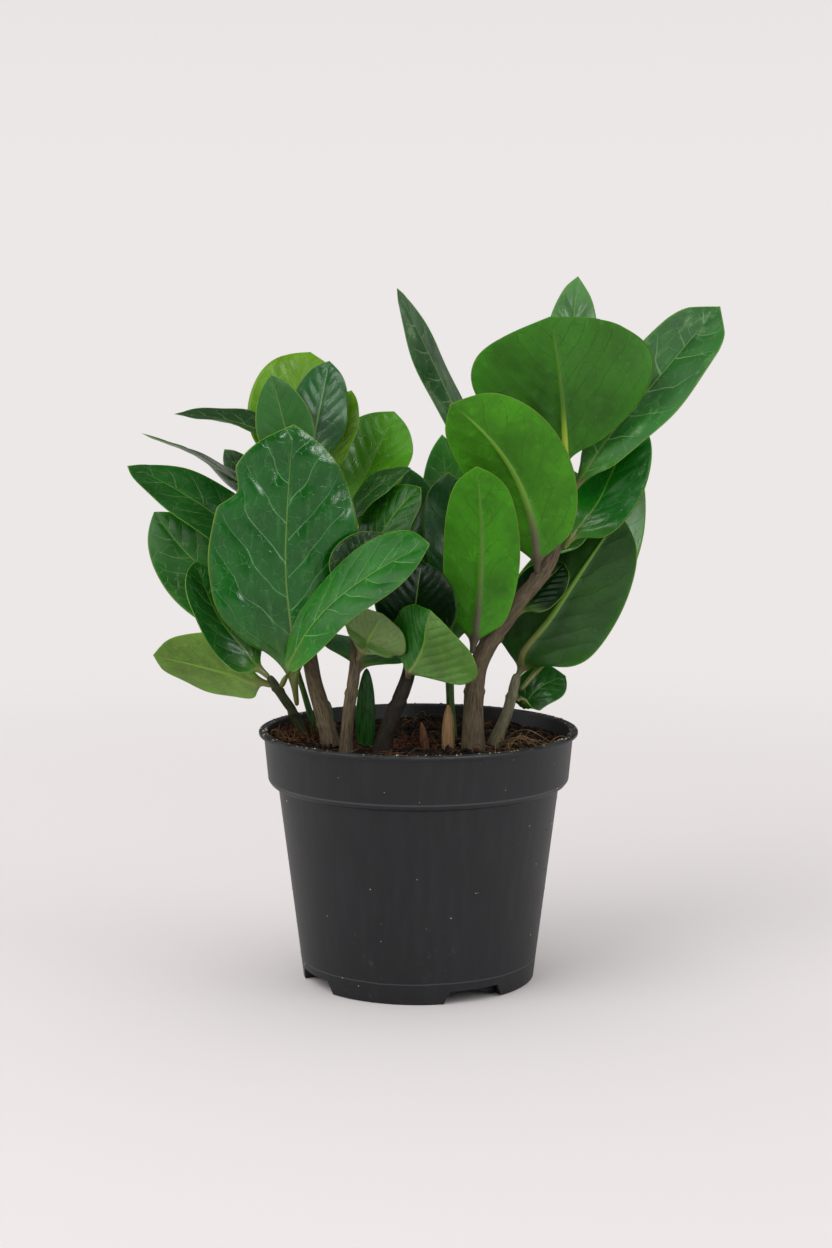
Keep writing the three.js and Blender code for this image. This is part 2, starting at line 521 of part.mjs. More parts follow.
// Leaves that start inside each other, or inside a stem, are bent apart round by round. Which of
// two lies in front is settled once, by where most of one lies over the other.
function settle(leaves) {
  const samples = new Map(leaves.map((leaf) => [leaf, samplesOf(leaf)]));
  const middleOf = (leaf, sample) =>
    sample
      .reduce((sum, [r, c]) => sum.add(leaf.rows[r].points[c]), new THREE.Vector3())
      .divideScalar(sample.length);
  const thickOf = (leaf, sample) => Math.max(...sample.map(([r]) => leaf.rows[r].thick));
  const posts = Object.entries(STEMS).map(([name, stem]) => {
    const curve = stemCurve(stem);
    const count = Math.ceil(curve.getLength() / POST_SPACING);
    const points = curve.getSpacedPoints(count);
    return points.map((p, k) => {
      return { name, p, radius: THREE.MathUtils.lerp(stem.foot, stem.tip, k / count) };
    });
  });
  const order = new Map();

  for (let round = 0; round < SETTLING_ROUNDS; round++) {
    const surfaces = leaves.map(surfaceOf);
    const moves = new Map(
      leaves.map((leaf) => [
        leaf,
        leaf.rows.map(({ points }) => points.map(() => ({ sum: new THREE.Vector3(), weight: 0 }))),
      ]),
    );
    const push = (leaf, cells, by) => {
      for (const [r, c] of cells) {
        const cell = moves.get(leaf)[r][c];
        cell.sum.add(by);
        cell.weight += 1;
      }
    };
    let busy = 0;

    const meet = (key, contacts) => {
      if (!order.has(key)) {
        const over = contacts.filter(({ hit }) => hit.past < BESIDE);
        const vote = over.reduce((sum, { hit, front, axis }) => sum + front * hit.away.dot(axis), 0);
        order.set(key, vote < 0 ? -1 : 1);
      }
      for (const { hit, need, front, axis, shove } of contacts) {
        if (hit.past >= BESIDE) {
          const gap = hit.away.length();
          if (gap < need) shove(hit.away.clone().multiplyScalar((need - gap) / Math.max(gap, 1e-3)));
          continue;
        }
        const side = Math.sign(hit.tile.normal.dot(axis)) * front * order.get(key) || 1;
        const lack = need - side * hit.height;
        if (lack <= 0) continue;
        busy += 1;
        shove(hit.tile.normal.clone().multiplyScalar(side * Math.min(lack, STRIDE)));
      }
    };

    surfaces.forEach((a, i) => {
      surfaces.slice(i + 1).forEach((b) => {
        if (!a.box.intersectsBox(b.box)) return;
        const axis = a.mean.clone().addScaledVector(b.mean, a.mean.dot(b.mean) < 0 ? -1 : 1);
        axis.normalize();
        const contacts = [];
        for (const [own, other, front] of [[a, b, 1], [b, a, -1]])
          for (const sample of samples.get(own.leaf)) {
            const point = middleOf(own.leaf, sample);
            if (!other.box.containsPoint(point)) continue;
            const hit = nearest(other, point, 0);
            if (!hit) continue;
            const row = hit.tile.corners[0];
            const need = thickOf(own.leaf, sample) + thickOf(other.leaf, [row]) + LEAF_ROOM;
            const shove = (by) => {
              push(own.leaf, sample, by.clone().multiplyScalar(0.5));
              push(other.leaf, hit.tile.corners, by.clone().multiplyScalar(-0.5));
            };
            contacts.push({ hit, need, front, axis, shove });
          }
        meet(a.leaf.name + b.leaf.name, contacts);
      });
      for (const post of posts) {
        const contacts = [];
        const own = post[0].name === a.leaf.on;
        for (const { p, radius } of post) {
          if (!a.box.containsPoint(p)) continue;
          const hit = nearest(a, p, own ? 3 : 0);
          if (!hit) continue;
          const need = radius + thickOf(a.leaf, [hit.tile.corners[0]]) + LEAF_ROOM;
          const shove = (by) => push(a.leaf, hit.tile.corners, by.clone().negate());
          contacts.push({ hit, need, front: 1, axis: a.mean, shove });
        }
        meet(a.leaf.name + post[0].name, contacts);
      }
    });

    for (const leaf of leaves) {
      let field = moves.get(leaf).map((row) =>
        row.map(({ sum, weight }) => sum.divideScalar(Math.max(1, weight)).clampLength(0, STRIDE)),
      );
      for (let pass = 0; pass < SMOOTHING_PASSES; pass++) field = smoothField(field);
      leaf.rows.forEach(({ points }, r) =>
        points.forEach((p, c) => p.addScaledVector(field[r][c], HOLD[r] ?? 1)),
      );
      const tip = leaf.rows.at(-1).points;
      const mean = tip.reduce((sum, p) => sum.add(p), new THREE.Vector3());
      mean.divideScalar(tip.length);
      tip.forEach((p) => p.copy(mean));
    }
    if (!busy) break;
  }
}

// Each move becomes half its own and half the mean of its neighbours', so a leaf bends smoothly.
function smoothField(field) {
  return field.map((row, r) =>
    row.map((own, c) => {
      const around = [field[r - 1]?.[c], field[r + 1]?.[c], row[c - 1], row[c + 1]].filter(Boolean);
      const mean = around.reduce((sum, v) => sum.add(v), new THREE.Vector3());
      return own.clone().lerp(mean.divideScalar(around.length), 0.5);
    }),
  );
}

// The leaf's skin: each row becomes a lens, thick at the midrib and sharp at the margins.
function leafGeometry(leaf) {
  const normals = leaf.rows.map(({ points }) => points.map(() => new THREE.Vector3()));
  for (const { corners, triangle } of surfaceOf(leaf).tiles) {
    const facing = triangle.getNormal(new THREE.Vector3()).multiplyScalar(triangle.getArea());
    for (const [r, c] of corners) normals[r][c].add(facing);
  }
  const last = leaf.rows.length - 1;
  const rings = leaf.rows.slice(0, last).map(({ points, thick }, r) => {
    const lifted = (c, sign) =>
      points[c]
        .clone()
        .addScaledVector(normals[r][c].normalize(), sign * thick * Math.sqrt(1 - COLUMNS[c] ** 2));
    const across = COLUMNS.map((_, c) => c);
    const top = across.map((c) => lifted(c, 1));
    const bottom = across.slice(1, -1).reverse().map((c) => lifted(c, -1));
    return [...top, ...bottom];
  });
  return loft(rings, leaf.rows[0].points[MIDDLE_COLUMN], leaf.rows[last].points[0]);
}

function makeLeaves() {
  const leaves = Object.entries(LEAVES).map(([name, leaf]) => leafRows(name, leaf));
  settle(leaves);
  for (const leaf of leaves)
    addMesh(leaf.name, leafGeometry(leaf), LEAF_GREENS[LEAVES[leaf.name].green]);
}

// ---------------------------------------------------------------- sprouts
// Papery bracts and new leaves that stand in the soil: [x, y] of the foot, height, half-widths.
const SPROUTS = {
  sprout_papery: { at: [12, -14], height: 20, half: [3, 2.4], tilt: [0, 0], skin: BRACT_PAPER },
  sprout_sheath: { at: [4, -12], height: 12, half: [2, 1.5], tilt: [-3, 0], skin: BRACT_PAPER },
  sprout_green: { at: [-22, -4], height: 34, half: [4.5, 2], tilt: [1, 3],
    skin: LEAF_GREENS.bright },
  sprout_blade: { at: [-37, 6], height: 18, half: [3, 1.2], tilt: [0, 2], skin: LEAF_GREENS.dull },
};
const SPROUT_SIDES = 8;
const SPROUT_SHAPE = [0.55, 0.85, 1, 0.92, 0.65];
const SPROUT_DEPTH = 8; // how far a sprout goes down into the soil

function sproutGeometry({ at, height, half, tilt }, extra) {
  const foot = new THREE.Vector3(at[0], at[1], SOIL_LEVEL - SPROUT_DEPTH - extra);
  const tip = new THREE.Vector3(at[0] + tilt[0], at[1] + tilt[1], SOIL_LEVEL + height + extra);
  const rings = SPROUT_SHAPE.map((share, k) => {
    const centre = foot.clone().lerp(tip, k / SPROUT_SHAPE.length);
    return Array.from({ length: SPROUT_SIDES }, (_, i) => {
      const angle = (2 * Math.PI * i) / SPROUT_SIDES;
      return new THREE.Vector3(
        centre.x + (half[0] * share + extra) * Math.cos(angle),
        centre.y + (half[1] * share + extra) * Math.sin(angle),
        centre.z,
      );
    });
  });
  return loft(rings, foot, tip);
}

function makeSprouts() {
  for (const [name, sprout] of Object.entries(SPROUTS))
    addMesh(name, sproutGeometry(sprout, 0), sprout.skin);
}

// ---------------------------------------------------------------- soil
function soilHeight(x, y) {
  const r = Math.hypot(x, y) / RIM_RADIUS;
  const lumps =
    Math.sin(0.31 * x + 1.3) * Math.cos(0.27 * y - 0.4) +
    0.6 * Math.sin(0.53 * y + 0.2 * x) +
    0.5 * Math.cos(0.61 * x - 0.35 * y + 2);
  const bank = SOIL_BANK * Math.exp(-(((x + 50) / 14) ** 2) - ((y - 12) / 22) ** 2);
  return SOIL_LEVEL + SOIL_LUMPS * lumps * (1 - 0.4 * r) + bank;
}

function makeSoil() {
  const bottom = FLOOR_RISE + FLOOR + GAP;
  const wallAt = (z, lift) => new THREE.Vector2(innerRadius(z) - GAP, z + lift);
  const outline = [new THREE.Vector2(0, bottom), wallAt(bottom, 0)];
  outline.push(wallAt(bodyEdge, GAP), wallAt(collarEdge, GAP), wallAt(SOIL_LEVEL, 0));
  const edge = innerRadius(SOIL_LEVEL) - GAP;
  for (let i = 1; i < SOIL_RINGS; i++)
    outline.push(new THREE.Vector2(edge * (1 - i / SOIL_RINGS), SOIL_LEVEL));
  outline.push(new THREE.Vector2(0, SOIL_LEVEL));
  const turned = new THREE.LatheGeometry(outline, POT_SIDES).rotateX(Math.PI / 2);
  const place = turned.attributes.position;
  for (let i = 0; i < place.count; i++)
    if (Math.abs(place.getZ(i) - SOIL_LEVEL) < 1e-3)
      place.setZ(i, soilHeight(place.getX(i), place.getY(i)));
  let soil = solidOf(turned);
  for (const stem of Object.values(STEMS)) soil = soil.subtract(solidOf(stemSolid(stem, GAP)));
  for (const tub of Object.values(RHIZOMES)) soil = soil.subtract(solidOf(tuber(tub, GAP)));
  for (const sprout of Object.values(SPROUTS))
    soil = soil.subtract(solidOf(sproutGeometry(sprout, GAP)));
  addMesh("soil", geometryOf(soil), SOIL_EARTH);
}

makePot();
makeSoil();
makeRhizomes();
makeStems();
makeLeaves();
makeSprouts();

export default root;
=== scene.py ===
# %% [markdown]
# A young ZZ plant in a charcoal nursery pot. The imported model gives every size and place: where
# each leaf, stem and sprout is, and the pot's box. This lesson grows smooth, veined leaves on
# those plain shapes, turns a fine pot, fills it with earth and fibre, and gives each its finish.

# %% The frame
import json
import math
import random

import bmesh
import bpy
import numpy as np
from mathutils import Matrix, Vector, noise


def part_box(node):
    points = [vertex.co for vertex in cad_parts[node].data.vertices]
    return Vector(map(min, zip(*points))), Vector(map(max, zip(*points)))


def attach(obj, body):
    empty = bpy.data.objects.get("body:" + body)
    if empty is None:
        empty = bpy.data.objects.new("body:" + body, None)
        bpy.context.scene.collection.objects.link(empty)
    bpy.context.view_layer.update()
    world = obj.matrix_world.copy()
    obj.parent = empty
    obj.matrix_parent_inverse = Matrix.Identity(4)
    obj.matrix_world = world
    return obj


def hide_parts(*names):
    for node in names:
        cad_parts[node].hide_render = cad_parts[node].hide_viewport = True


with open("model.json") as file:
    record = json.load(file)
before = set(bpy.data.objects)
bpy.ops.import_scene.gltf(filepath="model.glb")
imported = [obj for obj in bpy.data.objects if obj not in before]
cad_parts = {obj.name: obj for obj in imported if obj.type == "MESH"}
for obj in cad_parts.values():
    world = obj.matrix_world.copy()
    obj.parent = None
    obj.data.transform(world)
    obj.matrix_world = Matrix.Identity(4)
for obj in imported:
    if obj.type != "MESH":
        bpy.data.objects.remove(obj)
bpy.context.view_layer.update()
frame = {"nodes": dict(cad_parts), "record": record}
MM = 0.001

# %% [markdown]
# The camera stands a little under a metre in front of the pot, level with the middle of the
# plant, and looks down by seven degrees. A longish lens keeps the pot's sides straight.

# %% Camera
camera_data = bpy.data.cameras.new("camera")
camera_data.sensor_width = 36
camera_data.lens = 63.7
camera = bpy.data.objects.new("camera", camera_data)
camera.location = (-0.001, -0.8895, 0.2547)
camera.rotation_euler = (math.radians(90 - 7.04), 0, 0)
bpy.context.scene.collection.objects.link(camera)
bpy.context.scene.camera = camera
print("camera distance in mm:", round(camera.location.length / MM))


# %% [markdown]
# Finishes are node trees, and node trees are easiest to read as sums. Two small helpers make
# that possible. A Signal wraps one output socket, and each operator on it adds a Math node. A
# Finish holds one material: its node method adds any other node, with the node's settings first
# and then the values or links of its sockets.

# %% Shader helpers
class Signal:
    """One output socket that takes part in Python arithmetic."""

    def __init__(self, finish, socket):
        self.finish = finish
        self.socket = socket

    def math(self, operation, *others, clamp=False):
        values = dict(enumerate((self, *others)))
        return self.finish.node("Math", {"operation": operation, "use_clamp": clamp}, values)

    def __add__(self, other):
        return self.math("ADD", other)

    def __sub__(self, other):
        return self.math("SUBTRACT", other)

    def __rsub__(self, other):
        return self.finish.node("Math", {"operation": "SUBTRACT"}, {0: other, 1: self})

    def __mul__(self, other):
        return self.math("MULTIPLY", other)

    def __truediv__(self, other):
        return self.math("DIVIDE", other)

    def __pow__(self, other):
        return self.math("POWER", other)

    __radd__ = __add__
    __rmul__ = __mul__

    def clamped(self):
        return self.math("ADD", 0.0, clamp=True)


class Finish:
    """A material whose nodes are added one call at a time."""

    def __init__(self, name):
        self.material = bpy.data.materials.new(name)
        self.material.use_nodes = True
        self.tree = self.material.node_tree
        self.tree.nodes.clear()
        self.shader = self.tree.nodes.new("ShaderNodeBsdfPrincipled")
        output = self.tree.nodes.new("ShaderNodeOutputMaterial")
        self.tree.links.new(self.shader.outputs[0], output.inputs["Surface"])

    def node(self, kind, settings=None, sockets=None, output=0):
        made = self.tree.nodes.new("ShaderNode" + kind)
        for key, value in (settings or {}).items():
            if key == "stops":
                self.set_stops(made.color_ramp, value)
            else:
                setattr(made, key, value)
        self.feed(made, sockets or {})
        return Signal(self, made.outputs[output])

    def set_stops(self, ramp, stops):
        while len(ramp.elements) < len(stops):
            ramp.elements.new(1.0)
        for element, (position, color) in zip(ramp.elements, stops):
            element.position = position
            element.color = color

    def feed(self, node, sockets):
        for key, value in sockets.items():
            if isinstance(value, Signal):
                self.tree.links.new(value.socket, node.inputs[key])
            else:
                node.inputs[key].default_value = value

    def surface(self, **sockets):
        self.feed(self.shader, {key.replace("_", " "): value for key, value in sockets.items()})
        return self.material

    def mix(self, a, b, share, blend="MIX"):
        settings = {"data_type": "RGBA", "blend_type": blend, "clamp_factor": True}
        return self.node("Mix", settings, {0: share, 6: a, 7: b}, output=2)

    def ramp(self, value, low, high, smooth=True):
        """0 below low and 1 above high, or the other way round when low is the larger."""
        settings = {"interpolation_type": "SMOOTHSTEP" if smooth else "LINEAR"}
        return self.node("MapRange", settings, {0: value, 1: low, 2: high, 3: 0.0, 4: 1.0})

    def object_place(self):
        return self.node("TexCoord", {}, {}, output=3)

    def attribute(self, name):
        """The three numbers that a piece keeps at each point under this name."""
        vector = self.node("Attribute", {"attribute_name": name}, {}, output=1)
        split = self.tree.nodes.new("ShaderNodeSeparateXYZ")
        self.tree.links.new(vector.socket, split.inputs[0])
        return vector, *(Signal(self, socket) for socket in split.outputs)

    def noise(self, place, scale, detail=3.0, roughness=0.5, warp=0.0):
        sockets = {"Vector": place, "Scale": scale, "Detail": detail, "Roughness": roughness,
                   "Distortion": warp}
        return self.node("TexNoise", {}, sockets)

    def bump(self, height, distance, strength=1.0, under=None):
        sockets = {"Height": height, "Distance": distance, "Strength": strength}
        if under:
            sockets["Normal"] = under
        return self.node("Bump", {}, sockets)


def shade(code, strength=1.0):
    """A colour code such as 2e3032 as the linear red, green, blue and alpha that shaders use."""
    parts = [int(code[i:i + 2], 16) / 255 for i in (0, 2, 4)]
    linear = [c / 12.92 if c <= 0.04045 else ((c + 0.055) / 1.055) ** 2.4 for c in parts]
    return (*(min(c * strength, 1.0) for c in linear), 1.0)


print("helpers ready")

# %% [markdown]
# The studio is a wide pale floor under an even pale sky, so the plant looks the same from any
# side and the horizon doesn't show: far out, the floor turns into the sky's own colour. What is
# seen, what lights and what is mirrored are three strengths of one sky. The mirrored one is dim,
# as in a real studio with dark walls, so that leaves keep their deep greens, and four bright
# cards that only reflections can see lay long highlights on the glossy ones.

# %% Studio
BACKDROP = shade("ece8e7")
FLOOR_REACH = 6.0
FLOOR_FADE = (0.25, 0.95)
SKY_LIGHT = (0.52, 0.9)  # in front of the plant and behind it
SKY_MIRRORED = 0.15

floor_mesh = bmesh.new()
bmesh.ops.create_circle(floor_mesh, cap_ends=True, radius=FLOOR_REACH, segments=96)
floor_data = bpy.data.meshes.new("floor")
floor_mesh.to_mesh(floor_data)
floor_mesh.free()
floor = bpy.data.objects.new("floor", floor_data)
floor.location.z = -0.0002
bpy.context.scene.collection.objects.link(floor)

paper = Finish("studio_paper")
place = paper.object_place()
distance = paper.node("VectorMath", {"operation": "LENGTH"}, {0: place}, output=1)
paper.surface(Base_Color=shade("f9f6f7"), Roughness=0.9, Specular_IOR_Level=0.1)
glow = paper.node("Emission", {}, {"Color": BACKDROP, "Strength": 1.0})
blend = paper.node("MixShader", {}, {0: paper.ramp(distance, *FLOOR_FADE), 2: glow})
paper.tree.links.new(paper.shader.outputs[0], blend.socket.node.inputs[1])
paper.tree.links.new(blend.socket, paper.tree.nodes["Material Output"].inputs["Surface"])
floor_data.materials.append(paper.material)

world = bpy.data.worlds.new("sky")
bpy.context.scene.world = world
world.use_nodes = True
sky = world.node_tree
background = sky.nodes["Background"]
background.inputs["Color"].default_value = BACKDROP
split = sky.nodes.new("ShaderNodeSeparateXYZ")
sky.links.new(sky.nodes.new("ShaderNodeTexCoord").outputs["Generated"], split.inputs[0])
ray = sky.nodes.new("ShaderNodeLightPath")


def sky_range(axis, low, high, at_low, at_high):
    """A strength that changes evenly with one axis of the direction that is looked in."""
    made = sky.nodes.new("ShaderNodeMapRange")
    sky.links.new(split.outputs[axis], made.inputs[0])
    for key, value in zip(range(1, 5), (low, high, at_low, at_high)):
        made.inputs[key].default_value = value
    return made.outputs[0]


def sky_choice(test, otherwise, chosen):
    made = sky.nodes.new("ShaderNodeMix")
    sky.links.new(ray.outputs[test], made.inputs[0])
    for key, value in ((2, otherwise), (3, chosen)):
        if isinstance(value, float):
            made.inputs[key].default_value = value
        else:
            sky.links.new(value, made.inputs[key])
    return made.outputs[0]


strength = sky_choice("Is Glossy Ray", sky_range("Y", -1.0, 0.3, *SKY_LIGHT), SKY_MIRRORED)
strength = sky_choice("Is Camera Ray", strength, sky_range("Z", 0.08, 0.4, 1.0, 0.86))
sky.links.new(strength, background.inputs["Strength"])


def lamp(name, place, power, size, color, mirrored_only=False):
    data = bpy.data.lights.new(name, "AREA")
    data.energy = power
    data.shape = "DISK"
    data.size = size
    data.color = color
    made = bpy.data.objects.new(name, data)
    made.location = place
    made.rotation_euler = (Vector((0, 0, 0.15)) - made.location).to_track_quat("-Z", "Y").to_euler()
    made.visible_camera = False
    made.visible_diffuse = not mirrored_only
    bpy.context.scene.collection.objects.link(made)


lamp("window", (-1.2, -1.0, 1.5), 15.5, 1.8, (1.0, 0.98, 0.96))
lamp("reflector", (1.5, -0.6, 0.9), 4, 1.2, (0.96, 0.98, 1.0))
lamp("card_right", (1.0, -1.1, 0.75), 9, 0.6, (1, 1, 1), mirrored_only=True)
lamp("card_above", (0.35, -0.9, 1.5), 5, 0.5, (1, 1, 1), mirrored_only=True)
lamp("card_front", (0.5, -1.6, 0.75), 7, 0.4, (1, 1, 1), mirrored_only=True)
lamp("card_left", (-1.3, 0.1, 0.6), 3, 0.8, (1, 1, 1), mirrored_only=True)
bpy.context.scene.view_settings.view_transform = "Standard"

# %% [markdown]
# Every piece that is grown here starts from a mesh of triangles that meet only by place, so a
# copy is merged first. `settled` then turns an edited bmesh into an object, lets a Subdivision
# Surface round it off and keeps the result as plain geometry, so that later steps can push each
# point on its own.

# %% Mesh helpers
def merged_copy(node):
    bm = bmesh.new()
    bm.from_mesh(frame["nodes"][node].data)
    bmesh.ops.remove_doubles(bm, verts=bm.verts, dist=1e-6)
    return bm


def settled(bm, name, levels=0):
    mesh = bpy.data.meshes.new(name)
    bm.to_mesh(mesh)
    bm.free()
    for layer in ("custom_normal", "sharp_edge", "sharp_face"):
        if layer in mesh.attributes:
            mesh.attributes.remove(mesh.attributes[layer])
    piece = bpy.data.objects.new(name, mesh)
    bpy.context.scene.collection.objects.link(piece)
    if levels:
        rounding = piece.modifiers.new("rounding", "SUBSURF")
        rounding.levels = rounding.render_levels = levels
        apply_modifiers(piece)
    piece.data.shade_smooth()
    return piece


def apply_modifiers(piece):
    graph = bpy.context.evaluated_depsgraph_get()
    kept = bpy.data.meshes.new_from_object(piece.evaluated_get(graph))
    piece.modifiers.clear()
    piece.data = kept


def points_of(mesh):
    flat = np.empty(len(mesh.vertices) * 3, np.float32)
    mesh.vertices.foreach_get("co", flat)
    return flat.reshape(-1, 3).astype(float)


def set_points(mesh, points):
    mesh.vertices.foreach_set("co", points.astype(np.float32).ravel())
    mesh.update()


def vectors_of(mesh, name):
    flat = np.empty(len(mesh.vertices) * 3, np.float32)
    mesh.attributes[name].data.foreach_get("vector", flat)
    return flat.reshape(-1, 3).astype(float)


def keep_vectors(mesh, name, values):
    layer = mesh.attributes.get(name) or mesh.attributes.new(name, "FLOAT_VECTOR", "POINT")
    layer.data.foreach_set("vector", values.astype(np.float32).ravel())


def wear(piece, material, slot, *nodes):
    """Gives a piece its one material and hides the plain nodes that it stands for. The slot is not
    used.
    """
    piece.data.materials.clear()
    piece.data.materials.append(material)
    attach(piece, "root")
    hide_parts(*nodes)


print("mesh helpers ready")

# %% [markdown]
# The pot is blown from thin charcoal plastic: a rolled lip, a straight collar, a step, a tapered
# body and a foot with notches that let water out. It is a turned shape, so a half profile is
# spun round the upright axis. The rings where the profile turns a corner are bevelled, and the
# notches are cut last, with one Boolean each, so they pass clean through the foot.

# %% Pot shape
pot_low, pot_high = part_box("pot")
RIM = pot_high.x
TOP = pot_high.z
WALL = 1.4 * MM
LIP = 1.7 * MM
COLLAR_TOP = RIM - 2 * MM
COLLAR_FOOT = COLLAR_TOP - 1.7 * MM
COLLAR_EDGE = TOP - 20 * MM
BODY_TOP = COLLAR_FOOT - 4 * MM
BODY_EDGE = COLLAR_EDGE - 2.6 * MM
FOOT = 47.4 * MM
FLOOR_UP = 2.5 * MM
NOTCH = {"count": 4, "first": 28, "height": 5 * MM, "top": 21.5 * MM, "bottom": 27 * MM}

outside = [
    (0, 0), (26 * MM, 0), (28.5 * MM, FLOOR_UP), (41 * MM, FLOOR_UP), (42.4 * MM, 0), (FOOT, 0),
    (BODY_TOP, BODY_EDGE), (COLLAR_FOOT - 1.4 * MM, COLLAR_EDGE - 1.8 * MM),
    (COLLAR_FOOT, COLLAR_EDGE), (COLLAR_TOP, TOP - LIP), (RIM, TOP - LIP), (RIM, TOP),
]
inside = [
    (COLLAR_TOP - WALL, TOP), (COLLAR_FOOT - WALL, COLLAR_EDGE), (BODY_TOP - WALL, BODY_EDGE),
    (FOOT - WALL, FLOOR_UP + WALL), (0, FLOOR_UP + WALL),
]
POT_STEPS = 180


def spun(profile, steps):
    """A turned solid: a half profile in the XZ plane, spun once round the Z axis."""
    bm = bmesh.new()
    verts = [bm.verts.new((r, 0, z)) for r, z in profile]
    edges = [bm.edges.new(pair) for pair in zip(verts, verts[1:])]
    bmesh.ops.spin(bm, geom=[*verts, *edges], cent=(0, 0, 0), axis=(0, 0, 1),
                   angle=2 * math.pi, steps=steps, use_merge=True)
    bmesh.ops.remove_doubles(bm, verts=bm.verts, dist=1e-6)
    bmesh.ops.recalc_face_normals(bm, faces=bm.faces)
    return bm


pot_mesh = spun(outside + inside, POT_STEPS)
rings = [e for e in pot_mesh.edges if e.is_manifold and e.calc_face_angle() > math.radians(20)
         and abs(e.verts[0].co.z - e.verts[1].co.z) < 1e-6 and e.verts[0].co.z > FLOOR_UP * 2]
bmesh.ops.bevel(pot_mesh, geom=rings, offset=0.55 * MM, segments=3, profile=0.5, affect="EDGES",
                material=-1)
pot = settled(pot_mesh, "pot_moulding")

for k in range(NOTCH["count"]):
    cutter_mesh = bmesh.new()
    bmesh.ops.create_cube(cutter_mesh, size=1)
    for v in cutter_mesh.verts:
        width = NOTCH["top"] if v.co.z > 0 else NOTCH["bottom"]
        v.co = (v.co.x * width, v.co.y * 8 * MM - 45 * MM, NOTCH["height"] if v.co.z > 0 else -MM)
    turn = Matrix.Rotation(math.radians(NOTCH["first"] + 360 / NOTCH["count"] * k), 4, "Z")
    bmesh.ops.transform(cutter_mesh, matrix=turn, verts=cutter_mesh.verts)
    bmesh.ops.recalc_face_normals(cutter_mesh, faces=cutter_mesh.faces)
    cutter = settled(cutter_mesh, "notch_cutter")
    cut = pot.modifiers.new("notch", "BOOLEAN")
    cut.operation = "DIFFERENCE"
    cut.solver = "EXACT"
    cut.object = cutter
    apply_modifiers(pot)
    bpy.data.objects.remove(cutter)
pot.data.set_sharp_from_angle(angle=math.radians(35))
print("pot faces:", len(pot.data.polygons))

# %% [markdown]
# Nursery plastic is a dark satin grey, never a clean one. It has a fine moulded grain, faint
# vertical drag marks from the tool, a lip paler in patches that are partly wear and partly a
# painted highlight, a thin painted highlight round the collar's lower edge, dried splashes of
# soil dust that gather low on the body, and a hair-thin parting line just above the foot. All
# of it is laid on the piece's own coordinates, so it stays put when the pot turns.

# %% Pot finish
plastic = Finish("nursery_plastic")
place = plastic.object_place()
x, y, z = (Signal(plastic, s) for s in plastic.node(
    "SeparateXYZ", {}, {0: place}).socket.node.outputs)
stretched = plastic.node("Mapping", {}, {"Vector": place, "Scale": (1.0, 1.0, 0.12)})
drag = plastic.noise(stretched, 260, 4)
clouds = plastic.noise(place, 28, 5, 0.6)
grain = plastic.noise(place, 2600, 2)
dust = plastic.ramp(plastic.noise(place, 190, 6, 0.75), 0.58, 0.78) * plastic.ramp(z, 0.05, 0.004)
# Painted highlight: a thin pale line all round the collar's lower edge, where the rounded corner
# catches the light.
collar_edge_highlight = plastic.ramp((z - COLLAR_EDGE - 0.3 * MM).math("ABSOLUTE"), 0.6 * MM, 0.1 * MM)
# The lip's top is paler in noisy patches: partly wear, partly a painted highlight.
lip_wear_and_highlight = plastic.ramp(z, TOP - 1.2 * MM, TOP) * plastic.ramp(plastic.noise(place, 180, 4), 0.3, 0.6)
parting = plastic.ramp((z - 0.0075 - clouds * 0.0016).math("ABSOLUTE"), 0.00035, 0.0001)
color = plastic.mix(shade("0c0f13"), shade("12161c"), clouds)
color = plastic.mix(color, shade("2c3034"), (drag - 0.45) * 0.8)
color = plastic.mix(color, shade("6a6660"), dust * 0.35)
# Bluish grey on the lip: wear and a painted highlight.
color = plastic.mix(color, shade("54585b"), lip_wear_and_highlight * 0.4)
# The parting line is moulded. The pale line on the collar's edge is a painted highlight.
color = plastic.mix(color, shade("52565a"), (parting + collar_edge_highlight) * 0.5)
height = grain * 0.25 + drag * 0.3 + parting
plastic.surface(
    Base_Color=color,
    Roughness=0.44 + clouds * 0.12 + dust * 0.2,
    Specular_IOR_Level=0.4,
    Normal=plastic.bump(height, 0.00008, 0.6),
)
wear(pot, plastic.material, "pot_plastic", "pot")

# %% [markdown]
# Potting leaves its traces: flakes of peat and perlite stick to the wall, and more of them lie
# along the lip. Each is a small flat ball, set on the surface at a seeded random place.

# %% Flakes on the pot
FLAKE = 0.4 * MM
rng = random.Random(7)


def lump(bm, place, size, flat):
    """A twenty-sided ball, squashed, turned and knocked out of shape."""
    turn = Matrix.Rotation(rng.uniform(0, 6.28), 4, Vector((rng.random(), rng.random(), 1)))
    squash = Matrix.Diagonal((1, rng.uniform(0.5, 1), flat, 1))
    made = bmesh.ops.create_icosphere(bm, subdivisions=1, radius=size,
                                      matrix=Matrix.Translation(place) @ turn @ squash)
    for v in made["verts"]:
        v.co += noise.noise_vector(v.co * 900) * size * 0.45


def wall_radius(z):
    """The outside of the pot's body or collar at a height."""
    if z > COLLAR_EDGE:
        return COLLAR_FOOT + (COLLAR_TOP - COLLAR_FOOT) * (z - COLLAR_EDGE) / (TOP - COLLAR_EDGE)
    return FOOT + (BODY_TOP - FOOT) * z / BODY_EDGE


